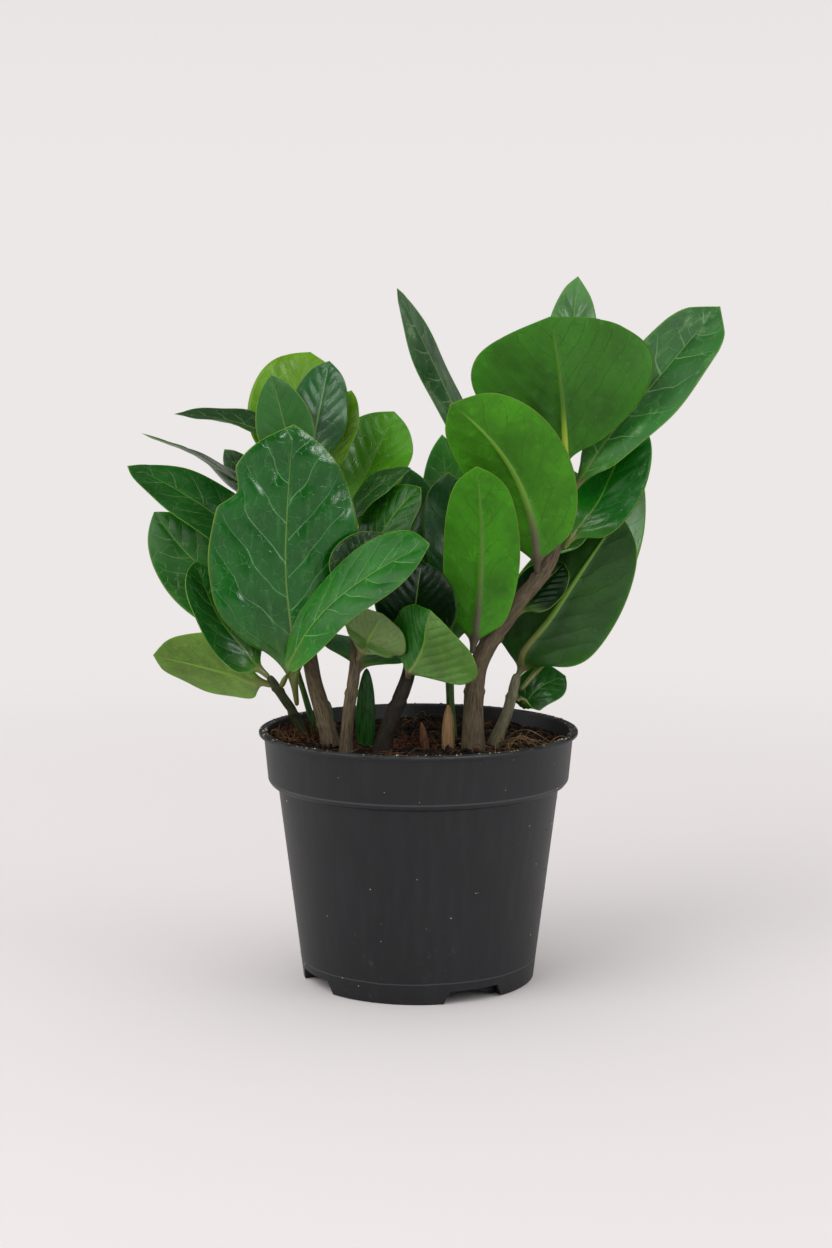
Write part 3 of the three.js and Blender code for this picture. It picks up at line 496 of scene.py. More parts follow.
flakes_mesh = bmesh.new()
for _ in range(150):
    angle = rng.uniform(0, 2 * math.pi)
    z = rng.uniform(4 * MM, TOP - 3 * MM)
    if BODY_EDGE < z < COLLAR_EDGE:
        continue
    r = wall_radius(z)
    lump(flakes_mesh, (r * math.cos(angle), r * math.sin(angle), z), FLAKE * rng.uniform(0.4, 1), 0.7)
for _ in range(260):
    angle = rng.uniform(0, 2 * math.pi)
    r = rng.uniform(COLLAR_TOP - WALL, RIM - 0.3 * MM)
    lump(flakes_mesh, (r * math.cos(angle), r * math.sin(angle), TOP), FLAKE * rng.uniform(0.5, 1.5),
         0.5)
flakes = settled(flakes_mesh, "pot_flakes")
flake_finish = Finish("peat_and_perlite")
place = flake_finish.object_place()
kind = flake_finish.noise(place, 260, 1)
flake_color = flake_finish.mix(shade("4a3423"), shade("c9bda8"), flake_finish.ramp(kind, 0.45, 0.6))
flake_finish.surface(Base_Color=flake_color, Roughness=0.85)
wear(flakes, flake_finish.material, "pot_plastic", "pot")
print("flake faces:", len(flakes.data.polygons))

# %% [markdown]
# The earth is a bed with a lumpy top, then hundreds of loose crumbs of peat and bark pressed
# into it, then the pale curly fibres of coir that tie it together. One noise alone looks like
# cloth, so the bed adds three sizes of it, and the bank of earth at the left is a smooth bell.

# %% Soil bed
soil_low, soil_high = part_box("soil")
SOIL = TOP - 6 * MM
BANK = {"x": -50 * MM, "y": 12 * MM, "height": 4 * MM, "wide": 14 * MM, "long": 22 * MM}
SOIL_EDGE = COLLAR_FOOT + 1.2 * MM - WALL


def soil_top(x, y):
    """The earth's level at a place, in metres."""
    place = Vector((x, y, 0))
    lumps = noise.noise(place * 55) * 1.5 + noise.noise(place * 130) * 1.1
    lumps += noise.noise(place * 300) * 0.6
    bell = math.exp(-((x - BANK["x"]) / BANK["wide"]) ** 2 - ((y - BANK["y"]) / BANK["long"]) ** 2)
    return SOIL + lumps * MM + BANK["height"] * bell


BED_RINGS = 44
bed_profile = [(0, FLOOR_UP + 2 * WALL), (FOOT - 2 * WALL, FLOOR_UP + 2 * WALL),
               (BODY_TOP - WALL - 0.4 * MM, BODY_EDGE), (SOIL_EDGE - 0.5 * MM, COLLAR_EDGE + MM)]
bed_profile += [(SOIL_EDGE * (1 - k / BED_RINGS), SOIL) for k in range(BED_RINGS + 1)]
bed_mesh = spun(bed_profile, POT_STEPS)
for v in bed_mesh.verts:
    if abs(v.co.z - SOIL) < 1e-6:
        v.co.z = soil_top(v.co.x, v.co.y)
bed = settled(bed_mesh, "soil_bed")
print("soil bed faces:", len(bed.data.polygons))

# %% [markdown]
# Crumbs and fibres are scattered with a seeded generator, so every run makes the same soil. A
# crumb is a twenty-sided ball knocked out of shape. A fibre is one spline of a curve with a
# little thickness, whose points wander and lift off the soil and come back down to it.

# %% Crumbs and fibres
def anywhere(limit):
    radius = limit * math.sqrt(rng.random())
    angle = rng.uniform(0, 2 * math.pi)
    return radius * math.cos(angle), radius * math.sin(angle)


crumbs_mesh = bmesh.new()
for _ in range(1100):
    cx, cy = anywhere(SOIL_EDGE - 1.5 * MM)
    size = rng.uniform(0.35, 1.0) ** 2 * 2.0 * MM
    lump(crumbs_mesh, (cx, cy, soil_top(cx, cy) + size * 0.2), size, rng.uniform(0.4, 0.8))
crumbs = settled(crumbs_mesh, "soil_crumbs")


def fibre_piece(name, count, reach, thickness, lift, limit, middle=(0, 0)):
    """Curly fibres that start within a distance of a middle, as one mesh."""
    data = bpy.data.curves.new(name, "CURVE")
    data.dimensions = "3D"
    data.bevel_depth = thickness
    data.bevel_resolution = 0
    data.resolution_u = 3
    for _ in range(count):
        px, py = anywhere(limit)
        px, py = px + middle[0], py + middle[1]
        heading = rng.uniform(0, 2 * math.pi)
        length = rng.uniform(0.4, 1.0) * reach
        arch = rng.random() ** 2 * lift
        spline = data.splines.new("NURBS")
        steps = 7
        spline.points.add(steps - 1)
        for k, point in enumerate(spline.points):
            point.co = (px, py, soil_top(px, py) + 0.2 * MM + arch * math.sin(math.pi * k / 6), 1)
            point.radius = 1 - 0.5 * abs(k / 3 - 1)
            heading += rng.gauss(0, 0.55)
            px += math.cos(heading) * length / steps
            py += math.sin(heading) * length / steps
            inward = math.hypot(px, py) / (SOIL_EDGE - MM)
            if inward > 1:
                px, py = px / inward, py / inward
        spline.use_endpoint_u = True
        spline.order_u = 4
    piece = bpy.data.objects.new(name, data)
    bpy.context.scene.collection.objects.link(piece)
    graph = bpy.context.evaluated_depsgraph_get()
    mesh = bpy.data.meshes.new_from_object(piece.evaluated_get(graph))
    bpy.data.objects.remove(piece)
    made = bpy.data.objects.new(name, mesh)
    bpy.context.scene.collection.objects.link(made)
    mesh.shade_smooth()
    return made


fibres = fibre_piece("coir_fibres", 380, 15 * MM, 0.15 * MM, 3.5 * MM, SOIL_EDGE - 2 * MM)
clump = fibre_piece("coir_clump", 150, 11 * MM, 0.17 * MM, 5 * MM, 12 * MM, (-46 * MM, 4 * MM))
roots = fibre_piece("dry_roots", 26, 30 * MM, 0.3 * MM, 5 * MM, 14 * MM, (42 * MM, -8 * MM))
tuft = fibre_piece("red_tuft", 60, 10 * MM, 0.16 * MM, 5 * MM, 8 * MM, (-4 * MM, -8 * MM))
print("crumbs:", len(crumbs.data.polygons), "fibres:", len(fibres.data.polygons))

# %% [markdown]
# Damp peat is nearly black, dry peat is red-brown and bark crumbs are tan. The three finishes
# share one recipe with other colours: a dark and a light tone picked by a noise, a rough coat,
# and a strong fine bump.

# %% Soil finishes
def earth(name, dark, light, scale, roughness=0.95):
    finish = Finish(name)
    place = finish.object_place()
    patches = finish.ramp(finish.noise(place, scale, 6, 0.65), 0.42, 0.68)
    bits = finish.noise(place, scale * 9, 4, 0.7)
    color = finish.mix(shade(dark), shade(light), patches * bits * 1.6)
    finish.surface(Base_Color=color, Roughness=roughness, Specular_IOR_Level=0.2,
                   Normal=finish.bump(bits, 0.0006))
    return finish.material


COIR = earth("coir", "4a2c18", "9a6f45", 60, 0.8)
wear(bed, earth("damp_peat", "030201", "1a0f09", 140), "soil_earth", "soil")
wear(crumbs, earth("peat_crumbs", "0a0604", "54341f", 90), "soil_earth", "soil")
wear(fibres, COIR, "soil_earth", "soil")
wear(clump, COIR, "soil_earth", "soil")
wear(tuft, earth("red_coir", "4a2010", "8c5030", 60, 0.8), "soil_earth", "soil")
wear(roots, earth("dry_root", "7a6040", "c2a67a", 60, 0.8), "soil_earth", "soil")

# %% [markdown]
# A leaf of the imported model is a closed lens: ten rings of eight points run from the foot of its
# stalk to just under the tip, with a single point at each end. Walking outwards from the tip,
# edge by edge, visits one ring at a time. In each ring the two points furthest apart are the
# margins, and the three points between them on either side are the upper and the lower face.
# Knowing each point's ring and column is what lets veins, margins and colours follow the leaf.

# %% Reading a leaf
RING_POINTS = 8
BLADE_RINGS = 8
# These leaves turn their undersides to the front. All others show their upper side there.
SHOWS_UNDERSIDE = {"leaf_left_low", "leaf_low_curled", "leaf_right_fan", "leaf_right_front",
                   "leaf_right_inner", "leaf_right_low"}
FRONT_AND_UP = Vector((0, -1, 0.6))


def ring_order(members):
    """The points of a ring in order round it."""
    order = [min(members, key=lambda v: v.index)]
    while len(order) < len(members):
        last = order[-1]
        near = [e.other_vert(last) for e in last.link_edges]
        order.append(next(v for v in near if v in members and v not in order))
    return order


def rings_from_tip(bm):
    """The tip, the rings from the tip down to the stalk's foot, and the foot's middle point."""
    bm.verts.index_update()
    poles = [v for v in bm.verts if len(v.link_edges) == RING_POINTS]
    tip = max(poles, key=lambda v: sum(e.calc_length() for e in v.link_edges))
    seen = {tip}
    front = {tip}
    rings = []
    while front:
        front = {e.other_vert(v) for v in front for e in v.link_edges} - seen
        seen |= front
        if len(front) == RING_POINTS:
            rings.append(ring_order(front))
    foot = next(v for v in poles if v is not tip)
    return tip, rings, foot


def middle(ring):
    return sum((v.co for v in ring), Vector()) / len(ring)


def aligned(ring, model):
    """The ring turned and reversed until its points lie in the same directions as the model's."""
    aims = [(v.co - middle(model)).normalized() for v in model]
    centre = middle(ring)
    tries = []
    for order in (ring, ring[::-1]):
        for k in range(RING_POINTS):
            turned = order[k:] + order[:k]
            fit = sum((v.co - centre).normalized().dot(aim) for v, aim in zip(turned, aims))
            tries.append((fit, turned))
    return max(tries, key=lambda pair: pair[0])[1]


def leaf_columns(node, rings):
    """Rings whose points are margin, upper face, margin, lower face, in the same order."""
    widest = max(rings[:BLADE_RINGS], key=lambda ring: max(
        (ring[k].co - ring[k + 4].co).length for k in range(4)))
    k = max(range(4), key=lambda k: (widest[k].co - widest[k + 4].co).length)
    start = rings.index(widest)
    rings[start] = widest[k:] + widest[:k]
    for r in range(start + 1, len(rings)):
        rings[r] = aligned(rings[r], rings[r - 1])
    for r in range(start - 1, -1, -1):
        rings[r] = aligned(rings[r], rings[r + 1])
    lift = sum((ring[2].co - ring[6].co for ring in rings[:BLADE_RINGS]), Vector())
    wanted = -1 if node in SHOWS_UNDERSIDE else 1
    if lift.dot(FRONT_AND_UP) * wanted < 0:
        rings = [ring[:1] + ring[:0:-1] for ring in rings]
        lift = -lift
    way = middle(rings[0]) - middle(rings[-1])
    if (rings[4][4].co - rings[4][0].co).dot(way.cross(lift)) < 0:
        rings = [ring[4::-1] + ring[:4:-1] for ring in rings]
    return rings


print("leaves:", sum(n.startswith("leaf_") for n in frame["nodes"]))

# %% [markdown]
# Growing a leaf goes in three steps. First the diagonals are dissolved, so the lens is made of
# four-sided faces, and its margins are creased, so the rounding keeps them thin and full width.
# Then the surface is rounded. Last, each point moves a little along the leaf's own normal: down
# into the veins, up between them, and out along the midrib underneath.

# %% Growing a leaf
COLUMN_ACROSS = (-1, -0.5, 0, 0.5, 1, 0.5, 0, -0.5)
COLUMN_SIDE = (0, 1, 1, 1, 0, -1, -1, -1)
STALK_RINGS = 2


def lifts_of(rings, tip):
    """The normal of the leaf's middle surface at each point, the same for both faces."""
    lifts = {}
    for r, ring in enumerate(rings):
        before = middle(rings[r - 1]) if r else tip.co
        after = middle(rings[min(r + 1, len(rings) - 1)])
        along = before - after
        for c, v in enumerate(ring):
            pair = 8 - c if c > 4 else c
            left = ring[max(pair - 1, 0)].co
            right = ring[min(pair + 1, 4)].co
            lifts[v] = (right - left).cross(along).normalized()
    return lifts


def leaf_blank(node):
    """The rounded-off quad mesh's cage, with its place on the leaf kept at every point."""
    bm = merged_copy(node)
    blade_layer = bm.verts.layers.float_vector.new("blade")
    span_layer = bm.verts.layers.float_vector.new("span")
    lift_layer = bm.verts.layers.float_vector.new("lift")
    crease_edge = bm.edges.layers.float.new("crease_edge")
    crease_vert = bm.verts.layers.float.new("crease_vert")
    tip, rings, foot = rings_from_tip(bm)
    rings = leaf_columns(node, rings)
    lifts = lifts_of(rings, tip)
    centres = [middle(ring) for ring in rings]
    steps = [(a - b).length for a, b in zip([tip.co, *centres], centres)]
    blade = sum(steps[:BLADE_RINGS + 1])
    place = {}
    for r, ring in enumerate(rings):
        share = 1 - sum(steps[:r + 1]) / blade
        half = (ring[0].co - ring[4].co).length / 2 / MM
        for c, v in enumerate(ring):
            place[v] = (r, c)
            v[blade_layer] = (share, COLUMN_ACROSS[c], COLUMN_SIDE[c])
            across = COLUMN_ACROSS[c] * half
            v[span_layer] = (share * blade / MM, across, half - abs(across))
            v[lift_layer] = lifts[v]
    tip[blade_layer] = (1, 0, 0)
    tip[span_layer] = (blade / MM, 0, 0)
    tip[lift_layer] = lifts[rings[0][2]]
    tip[crease_vert] = 1.0
    foot[blade_layer] = rings[-1][2][blade_layer]
    foot[span_layer] = (0, 0, half)
    foot[lift_layer] = lifts[rings[-1][2]]

    margins = {v for ring in rings[:BLADE_RINGS] for v in (ring[0], ring[4])} | {tip}
    diagonals = []
    for edge in bm.edges:
        a, b = (place.get(v) for v in edge.verts)
        if all(v in margins for v in edge.verts) and (a is None or b is None or a[1] == b[1]):
            edge[crease_edge] = 1.0
        if a and b and a[0] != b[0] and a[1] != b[1]:
            diagonals.append(edge)
    bmesh.ops.dissolve_edges(bm, edges=diagonals, use_verts=False)

    # The stalk's foot reaches just into the stem, so that no gap shows.
    sink = (centres[-1] - centres[-2]).normalized() * SINK
    for v in [*rings[-1], foot]:
        v.co += sink
    return bm, blade


SINK = 1.2 * MM


def smooth_step(value, low, high):
    share = np.clip((value - low) / (high - low), 0, 1)
    return share * share * (3 - 2 * share)


def notches(look, points, lift, share, across):
    """How far each point moves, in metres, where one half is narrower beyond a notch."""
    move = np.zeros_like(points)
    way = points[share.argmax()] - points[share.argmin()]
    outwards = np.cross(way, lift)
    outwards /= np.maximum(np.linalg.norm(outwards, axis=1, keepdims=True), 1e-9)
    for half, at, wide, deep in look["notches"]:
        depth = smooth_step(share, at - wide, at + wide) * np.clip((1.08 - share) * 4, 0, 1)
        depth *= np.clip(across * half, 0, 1) ** 2
        move -= outwards * (depth * half * deep * MM)[:, None]
    return move


def grow(node, look):
    bm, length = leaf_blank(node)
    leaf = settled(bm, "grown_" + node, look["levels"])
    mesh = leaf.data
    share, across, side = vectors_of(mesh, "blade").T
    along_mm, across_mm, edge_mm = vectors_of(mesh, "span").T
    lift = vectors_of(mesh, "lift")
    lift /= np.maximum(np.linalg.norm(lift, axis=1, keepdims=True), 1e-9)
    points = points_of(mesh)

    # The side veins leave the midrib in turn and sweep forward to the margin.
    length_mm = length / MM
    wander = np.array([noise.noise(Vector(p) * 38) + 0.4 * noise.noise(Vector(p) * 110)
                       for p in points])
    swell = np.array([noise.noise(Vector(p) * 62 + Vector((look["seed"], 0, 0))) for p in points])
    sweep = np.abs(across_mm) / length_mm * look["sweep"] + 0.07 * across ** 2
    phase = (share - sweep) * look["veins"] + np.where(across > 0, 0.5, 0.0) + wander * 0.4
    to_vein = np.abs(phase - np.round(phase))
    inner = smooth_step(np.abs(across), 0.02, 0.25) * smooth_step(edge_mm, 0.3, 5.0)
    inner *= smooth_step(share, 0.0, 0.1)
    upper = smooth_step(side, -0.3, 0.3)
    on_blade = smooth_step(share, -0.02, 0.06)
    pillow = np.sin(np.pi * np.clip(to_vein, 0, 0.5)) ** 0.8
    relief = look["quilt"] * inner * (pillow - 0.5) * (0.7 + 0.6 * wander)
    relief += look["swell"] * swell * smooth_step(np.abs(across), 0.0, 0.3) * on_blade
    relief += look["wave"] * np.abs(across) ** 3 * on_blade * np.sin(
        share * look["waves"] * 6.28 + np.sign(across) + look["seed"])
    groove = np.exp(-(across_mm / 0.9) ** 2) * on_blade * smooth_step(share, 1.0, 0.8)
    relief -= 0.25 * groove * upper
    girth = look["rib_width"] * np.clip(1.15 - share, 0.1, 1.1)
    rib = look["rib"] * np.clip(1.1 - share, 0, 1) * np.exp(-(across_mm / girth) ** 2)
    relief -= rib * on_blade * (1 - upper) * smooth_step(share, 1.0, 0.85)
    points = points + notches(look, points, lift, share, across)
    set_points(mesh, points + lift * relief[:, None] * MM)
    keep_vectors(mesh, "veins", np.stack([phase, across_mm, edge_mm], axis=1))
    mesh.attributes.remove(mesh.attributes["lift"])
    mesh.attributes.remove(mesh.attributes["span"])
    return leaf


# %% [markdown]
# One recipe paints every leaf. The upper side is glossy and deep, with pale threads for veins
# and a thin yellow-green margin. The underside is lighter and duller. The midrib is a lime cord
# that turns grey-brown towards the stalk on old leaves. Blotches of two greens and a fine net of
# veins keep the surface from being one flat colour, and faint pale lengthwise streaks on the
# upper side are a painted sheen.

# %% Leaf finish
def leaf_finish(name, look):
    finish = Finish(name)
    _, share, across, side = finish.attribute("blade")
    _, phase, across_mm, edge_mm = finish.attribute("veins")
    place = finish.object_place()
    upper = finish.ramp(side, -0.15, 0.15)
    if look["turned"]:
        upper = upper * finish.ramp(across * look["turned"], 0.03, -0.03)
    blotch = finish.ramp(finish.noise(place, 42, 5, 0.6, 0.3), 0.3, 0.7, smooth=False)
    fine = finish.noise(place, 330, 4, 0.6)

    to_vein = (phase + (finish.noise(place, 120, 2) - 0.5) * 0.16).math("PINGPONG", 0.5)
    width = 0.014 + finish.ramp(across.math("ABSOLUTE"), 1.0, 0.0) * 0.02
    thread = finish.ramp(to_vein / width, 1.0, 0.45) * finish.ramp(edge_mm, 0.5, 5.0)
    thread = thread * finish.ramp(blotch, 0.0, 0.5)
    push = finish.node("TexNoise", {}, {"Vector": place, "Scale": 90.0}, output=1)
    net_place = finish.node("VectorMath", {"operation": "MULTIPLY_ADD"}, {
        0: push, 1: (0.007, 0.007, 0.007), 2: place})
    net = finish.node("TexVoronoi", {"feature": "DISTANCE_TO_EDGE"}, {
        "Vector": net_place, "Scale": 190.0})
    net = finish.ramp(net, 0.05, 0.01) * finish.ramp(fine, 0.42, 0.6)
    girth = (1.15 - share) * look["rib_width"]
    girth = girth * (1 - upper * 0.45)
    rib = finish.ramp(across_mm.math("ABSOLUTE") / girth, 1.0, 0.5)
    rib = rib * finish.ramp(share, 1.0, 0.8)
    on_blade = finish.ramp(share, -0.01, 0.04)
    margin = finish.ramp(edge_mm + fine * 0.4, 0.75, 0.3) * on_blade

    # Painted sheen: pale lengthwise streaks on the upper side that stand in for glare.
    lengthwise = finish.node("CombineXYZ", {}, {
        0: across_mm * 0.16, 1: share * 2.6, 2: look["seed"]})
    painted_sheen = finish.ramp(finish.noise(lengthwise, 1.5, 4, 0.65, 0.6), 0.5, 0.7)
    painted_sheen = painted_sheen * finish.ramp(fine, 0.3, 0.62)

    top = finish.mix(shade(look["top"], 0.65), shade(look["top"], 1.35), blotch)
    top = finish.mix(top, shade(look["tint"]), finish.ramp(share, 0.3, -0.05) * 0.4)
    lines = (thread * 0.7 + net * 0.25).clamped() * look["lines"]
    top = finish.mix(top, shade(look["vein"]), lines)
    # The painted sheen is laid over the upper side in a paler vein green.
    top = finish.mix(top, shade(look["vein"], 1.3), painted_sheen * look["painted_sheen"])
    under = finish.mix(shade(look["under"], 0.6), shade(look["under"], 1.4), blotch)
    under = finish.mix(under, shade(look["under"], 1.9), finish.ramp(fine, 0.5, 0.75) * 0.3)
    under = finish.mix(under, shade(look["under"], 0.5), (lines + net * 0.3).clamped() * 0.75)
    color = finish.mix(under, top, upper)
    color = finish.mix(color, shade(look["margin"]), margin * look["margin_share"])
    cord = finish.mix(shade(look["rib_foot"]), shade(look["rib_tip"]), finish.ramp(share, 0.08, 0.4))
    color = finish.mix(color, cord, rib * (0.95 - upper * 0.4))
    color = finish.mix(shade(look["stalk"]), color, on_blade)

    height = thread * -0.5 + net * -0.2 + fine * 0.15
    finish.surface(
        Base_Color=color,
        Roughness=look["gloss"] + (1 - upper) * 0.18 + (blotch - 0.5) * 0.1,
        Normal=finish.bump(height, 0.0005, 0.5),
        Specular_IOR_Level=look["shine"],
        Subsurface_Weight=0.1,
        Subsurface_Radius=(0.3, 1.0, 0.1),
        Subsurface_Scale=0.0015,
    )
    return finish.material


# %% [markdown]
# Each leaf has its own age and light, so each names its own greens and whatever else sets it
# apart. The leaves deep in the middle of the plant get near-black greens with dark veins and
# margins, which are painted shade. Everything a leaf doesn't name comes from the usual leaf.

# %% Leaf looks
# Each look's sheen share says how much painted sheen its upper side gets.
USUAL = {
    "top": "1c661f", "under": "467a26", "vein": "6aa654", "margin": "86a834", "tint": "5f9a2a",
    "stalk": "6f7a3c", "rib_tip": "7aa63f", "rib_foot": "80904a", "rib_width": 1.1,
    "margin_share": 0.6, "gloss": 0.3, "quilt": 0.45, "swell": 0.5, "wave": 0.5, "waves": 2.2,
    "veins": 6.5, "sweep": 1.1, "rib": 0.8, "lines": 1.0, "levels": 3, "seed": 0.0, "turned": 0,
    "notches": (), "shine": 0.34, "painted_sheen": 0.12,
}
BACK_VIEW = {"levels": 4, "quilt": 0.25, "swell": 0.5, "gloss": 0.36, "rib": 1.4, "shine": 0.16}
LOOKS = {
    "leaf_left_broad": {"top": "0a5c10", "quilt": 1.2, "swell": 2.2, "levels": 4, "gloss": 0.22,
                        "painted_sheen": 0.18, "margin_share": 0.9,
                        "vein": "5d9c58", "shine": 0.42,
                        "notches": ((-1, 0.69, 0.035, 6), (-1, 0.78, 0.06, -6))},
    "leaf_left_crossing": {"top": "166c0c", "levels": 4, "tint": "6fae22", "vein": "74b45c",
                           "quilt": 0.4, "gloss": 0.36},
    "leaf_left_folded": {"top": "125612", "margin": "9cb84a"},
    "leaf_left_low": {"top": "4a7428", "under": "668a38", "vein": "8aa65a", **BACK_VIEW},
    "leaf_left_middle": {"top": "1c6214", "vein": "6f9648"},
    "leaf_left_upper": {"top": "1a5a1a", "vein": "6f8c50"},
    "leaf_left_blade": {"top": "164216"},
    "leaf_left_spear": {"top": "204a1e", "vein": "7f9a70"},
    "leaf_left_narrow": {"top": "144412", "shine": 0.2},
    "leaf_crown_lime": {"top": "68a00e", "under": "84ac28", "vein": "98bc40", "margin": "98b430"},
    "leaf_crown_back": {"top": "1e621c"},
    "leaf_crown_grey": {"top": "2e6a24", "gloss": 0.45, "vein": "23502a", "quilt": 0.2},
    "leaf_crown_blue": {"top": "1a5c22", "swell": 0.9, "vein": "3f7048"},
    "leaf_crown_right": {"top": "5c9206", "under": "739c22", "vein": "86ac34"},
    "leaf_centre_cupped": {"top": "4a9210", "under": "5a962a", "vein": "86ba56"},
    "leaf_centre_spear": {"top": "22541c"},
    "leaf_centre_edged": {"top": "1c580a", "margin": "9cb236"},
    # Painted shade: a near-black green for a leaf deep in the middle of the plant.
    "leaf_centre_deep": {"top": "0a3208"},
    # Painted shade: a dark green with dark veins for a leaf in the middle of the plant.
    "leaf_centre_tall": {"top": "0c4a10", "shine": 0.2, "vein": "1d5a30"},
    "leaf_centre_wedge": {"top": "2e7c1c"},
    # Painted shade: near-black green, veins and margin for the leaf that sits in the plant's shade.
    "leaf_centre_shaded": {"top": "042204", "shine": 0.12, "vein": "124a1a", "margin": "2c5c1c"},
    "leaf_low_curled": {**BACK_VIEW, "top": "567f36", "under": "789458", "gloss": 0.42,
                        "margin": "8aa05a", "stalk": "6f6a4c"},
    "leaf_low_folded": {"top": "206a14", "under": "5f8c3e", "turned": 1, "levels": 4,
                        "stalk": "6a6048", "rib_foot": "8a9a50"},
    "leaf_right_fan": {**BACK_VIEW, "under": "33700f", "rib": 1.5,
                       "notches": ((-1, 0.78, 0.2, 7), (1, 0.9, 0.1, 2)),
                       "rib_tip": "527f24", "rib_foot": "b2cc44", "rib_width": 1.5},
    "leaf_right_front": {**BACK_VIEW, "under": "458c18", "rib": 1.8, "stalk": "5c5344",
                         "rib_tip": "78a83c", "rib_foot": "6a6450", "rib_width": 2.0},
    "leaf_right_inner": {**BACK_VIEW, "under": "408a12", "rib": 1.8, "stalk": "5c5344",
                         "rib_tip": "5c8a34", "rib_foot": "625c4a", "rib_width": 1.8},
    "leaf_right_long": {"top": "1e6c18", "levels": 4, "quilt": 0.3, "swell": 0.45, "sweep": 0.5,
                        "vein": "7fb070", "gloss": 0.36, "rib_foot": "8aa04a",
                        "painted_sheen": 0.45, "notches": ((-1, 0.3, 0.2, -2), (1, 0.3, 0.2, -2))},
    "leaf_right_back": {"top": "5a9250", "quilt": 0.8, "painted_sheen": 0.5},
    "leaf_right_spear": {"top": "265426", "vein": "6f8c62", "sweep": 0.4, "quilt": 0.8,
                         "painted_sheen": 0.5},
    "leaf_right_glossy": {"top": "0b600c", "gloss": 0.26, "vein": "2f8028", "shine": 0.2},
    "leaf_right_edge": {"top": "3c7430"},
    "leaf_right_low": {**BACK_VIEW, "under": "204f08", "quilt": 0.5, "rib_foot": "7c8040",
                       "rib_width": 1.8, "stalk": "6c6a48"},
    # Painted shade: near-black green and veins for a leaf tucked in behind the others.
    "leaf_right_inset": {"top": "062806", "vein": "124a12", "shine": 0.1},
    "leaf_right_hem": {"top": "165410"},
}
SLOT_OF = {s["node"]: s["material_slot"] for s in frame["record"]["subparts"]}

for k, node in enumerate(sorted(n for n in frame["nodes"] if n.startswith("leaf_"))):
    look = {**USUAL, "seed": k * 1.7, **LOOKS.get(node, {})}
    leaf = grow(node, look)
    wear(leaf, leaf_finish("skin_of_" + node, look), SLOT_OF[node], node)

# %% [markdown]
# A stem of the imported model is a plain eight-sided tube. Rounding it would make it thinner,
# because a subdivided octagon shrinks, so its rings are first widened by the same share. Each
# point keeps its place on the unrolled stem. The bark's streaks run along that, the rings left
# by old leaf stalks go round it, and the foot swells a little where it meets the soil.

# %% Growing a stem
OCTAGON_SHRINK = (2 + math.cos(math.pi / 4)) / 3


def grow_stem(node, scars, swelling):
    bm = merged_copy(node)
    layer = bm.verts.layers.float_vector.new("bark")
    tip, rings, foot = rings_from_tip(bm)
    if tip.co.z < foot.co.z:
        rings, tip, foot = rings[::-1], foot, tip
    for r in range(1, len(rings)):
        rings[r] = aligned(rings[r], rings[r - 1])
    centres = [middle(ring) for ring in rings]
    run = 0.0
    place = {}
    for r, (ring, centre) in enumerate(zip(rings, centres)):
        run -= (centre - centres[max(r - 1, 0)]).length
        for c, v in enumerate(ring):
            angle = 2 * math.pi * c / RING_POINTS
            radius = (v.co - centre).length / MM
            v[layer] = (radius * math.cos(angle), radius * math.sin(angle), run / MM)
            v.co = centre + (v.co - centre) / OCTAGON_SHRINK
            place[v] = (r, c)
    tip[layer] = (0, 0, 0)
    foot[layer] = (0, 0, run / MM)
    diagonals = []
    for edge in bm.edges:
        a, b = (place.get(v) for v in edge.verts)
        if a and b and a[0] != b[0] and a[1] != b[1]:
            diagonals.append(edge)
    bmesh.ops.dissolve_edges(bm, edges=diagonals, use_verts=False)
    stem = settled(bm, "grown_" + node, 3)
    mesh = stem.data
    points = points_of(mesh)
    bark = vectors_of(mesh, "bark")
    normals = np.array([n.vector for n in mesh.vertex_normals])
    out = np.zeros(len(points))
    for k, scar in enumerate(scars):
        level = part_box(node)[1].z * (1 - scar) + SOIL * scar
        gap = (points[:, 2] - level + np.cos(k + bark[:, 0]) * 0.6 * MM) / MM
        out += 0.45 * np.exp(-(gap / 0.9) ** 2) - 0.2 * np.exp(-((gap - 1.8) / 0.8) ** 2)
    out += swelling * np.exp(-((points[:, 2] - SOIL) / (5 * MM)) ** 2)
    out += [0.35 * noise.noise(Vector((b[0] * 0.5, b[1] * 0.5, b[2] * 0.09))) for b in bark]
    set_points(mesh, points + normals * out[:, None] * MM)
    return stem


def stem_finish(name, dark, light, streak, spots):
    finish = Finish(name)
    vector, bx, by, bz = finish.attribute("bark")
    place = finish.object_place()
    grown = finish.node("VectorMath", {"operation": "MULTIPLY"}, {0: vector, 1: (1, 1, 0.09)})
    streaks = finish.noise(grown, 2.2, 5, 0.65)
    patches = finish.noise(place, 90, 4, 0.6)
    fleck = finish.ramp(finish.noise(grown, 5.5, 3), 0.6, 0.72)
    color = finish.mix(shade(dark), shade(light), finish.ramp(streaks, 0.3, 0.7))
    color = finish.mix(color, shade(streak), finish.ramp(patches, 0.5, 0.75) * 0.6)
    color = finish.mix(color, shade(spots), fleck * 0.45)
    finish.surface(Base_Color=color, Roughness=0.55 + patches * 0.2, Specular_IOR_Level=0.2,
                   Normal=finish.bump(streaks + fleck * 0.4, 0.0005, 0.7))
    return finish.material


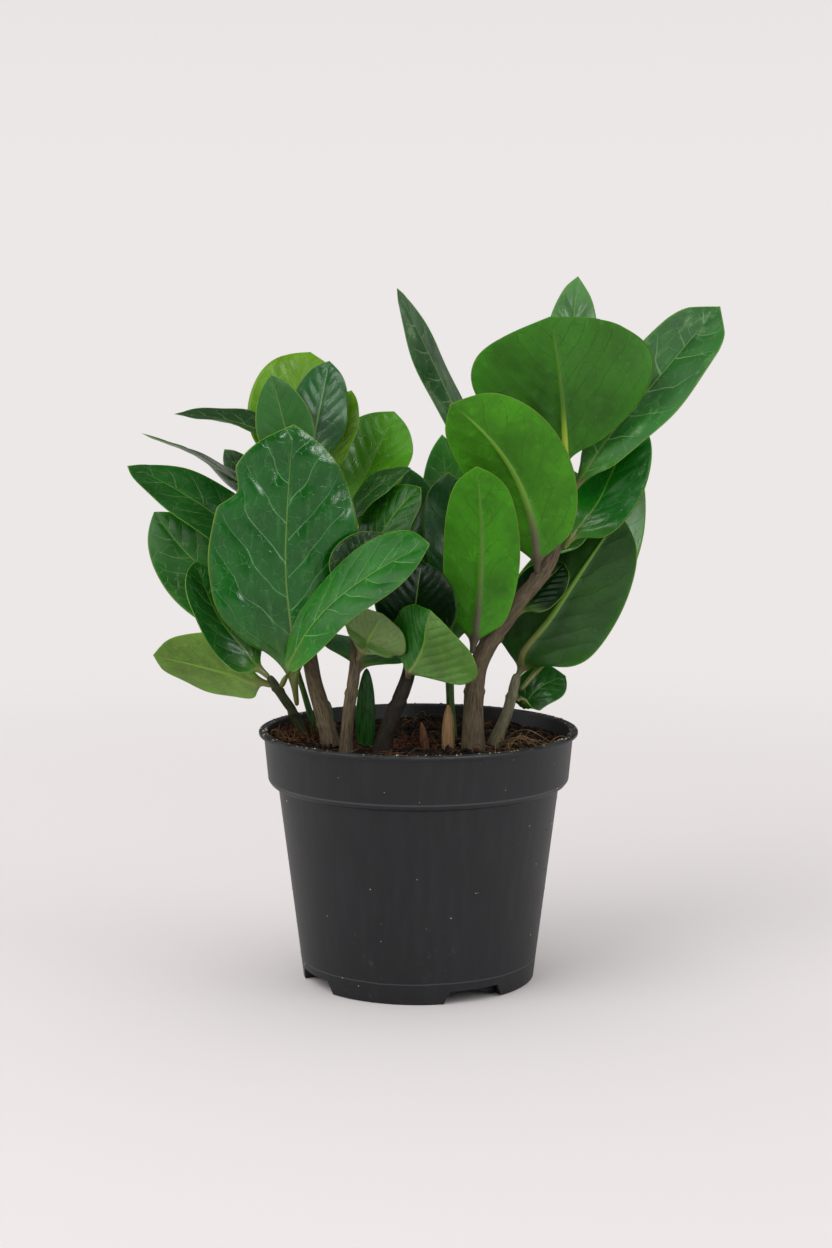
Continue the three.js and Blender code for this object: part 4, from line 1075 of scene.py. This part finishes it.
BARK = stem_finish("grey_bark", "43372a", "786a50", "4c4a2a", "8c7d63")
DEEP = stem_finish("deep_bark", "120e07", "30271a", "1e1c0e", "4a3f30")
MOSSY = stem_finish("mossy_bark", "5a563e", "8e896c", "4c5a30", "b5ae94")
OLIVE = stem_finish("olive_bark", "2b301c", "4a4e30", "374624", "6d6a50")
GREEN = stem_finish("green_skin", "2a4a1c", "4d7a30", "395f24", "6f9350")
STEM_LOOKS = {
    "stem_1": (OLIVE, (0.2, 0.6), 0.3),
    "stem_2": (GREEN, (), 0.1),
    "stem_3": (BARK, (0.93, 0.55, 0.3), 0.5),
    "stem_4": (BARK, (0.75, 0.4), 0.3),
    "stem_5": (DEEP, (0.7, 0.45), 0.5),
    "stem_6": (BARK, (0.8, 0.62, 0.4, 0.2), 0.5),
    "stem_7": (MOSSY, (0.3,), 0.5),
    "stem_8": (GREEN, (0.6,), 0.2),
}
for node, (material, scars, swelling) in STEM_LOOKS.items():
    wear(grow_stem(node, scars, swelling), material, SLOT_OF[node], node)
print("stems grown:", len(STEM_LOOKS))

# %% [markdown]
# The sprouts are the plant's youngest parts: a dry papery bract, a smaller sheath beside it and
# two green shoots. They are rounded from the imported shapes, and the dry ones get fine upright
# fibres like old paper.

# %% Sprouts
def sprout_finish(name, dark, light, roughness):
    finish = Finish(name)
    place = finish.object_place()
    upright = finish.node("Mapping", {}, {"Vector": place, "Scale": (1.0, 1.0, 0.08)})
    fibres_of = finish.noise(upright, 1500, 4, 0.6)
    patches = finish.noise(place, 160, 4)
    color = finish.mix(shade(dark), shade(light), finish.ramp(fibres_of, 0.3, 0.7))
    color = finish.mix(color, shade(dark, 0.6), finish.ramp(patches, 0.5, 0.8) * 0.6)
    finish.surface(Base_Color=color, Roughness=roughness, Specular_IOR_Level=0.2,
                   Normal=finish.bump(fibres_of, 0.0003, 0.8))
    return finish.material


SPROUT_LOOKS = {
    "sprout_papery": ("8a6a44", "b8956a", 0.8),
    "sprout_sheath": ("5a3a26", "8a5f3c", 0.8),
    "sprout_green": ("0b3006", "1e6410", 0.4),
    "sprout_blade": ("2c6a26", "4f8a3a", 0.4),
}
for node, look in SPROUT_LOOKS.items():
    sprout = settled(merged_copy(node), "grown_" + node, 2)
    wear(sprout, sprout_finish("skin_of_" + node, *look), SLOT_OF[node], node)

# %% [markdown]
# The rhizomes are the plant's water store. They lie under the soil, where nobody sees them until
# the pot is tipped out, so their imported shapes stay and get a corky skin.

# %% Rhizomes
cork = earth("rhizome_cork", "7a5c34", "b8945c", 70, 0.8)
for node in sorted(n for n in frame["nodes"] if n.startswith("rhizome")):
    frame["nodes"][node].data.materials[0] = cork
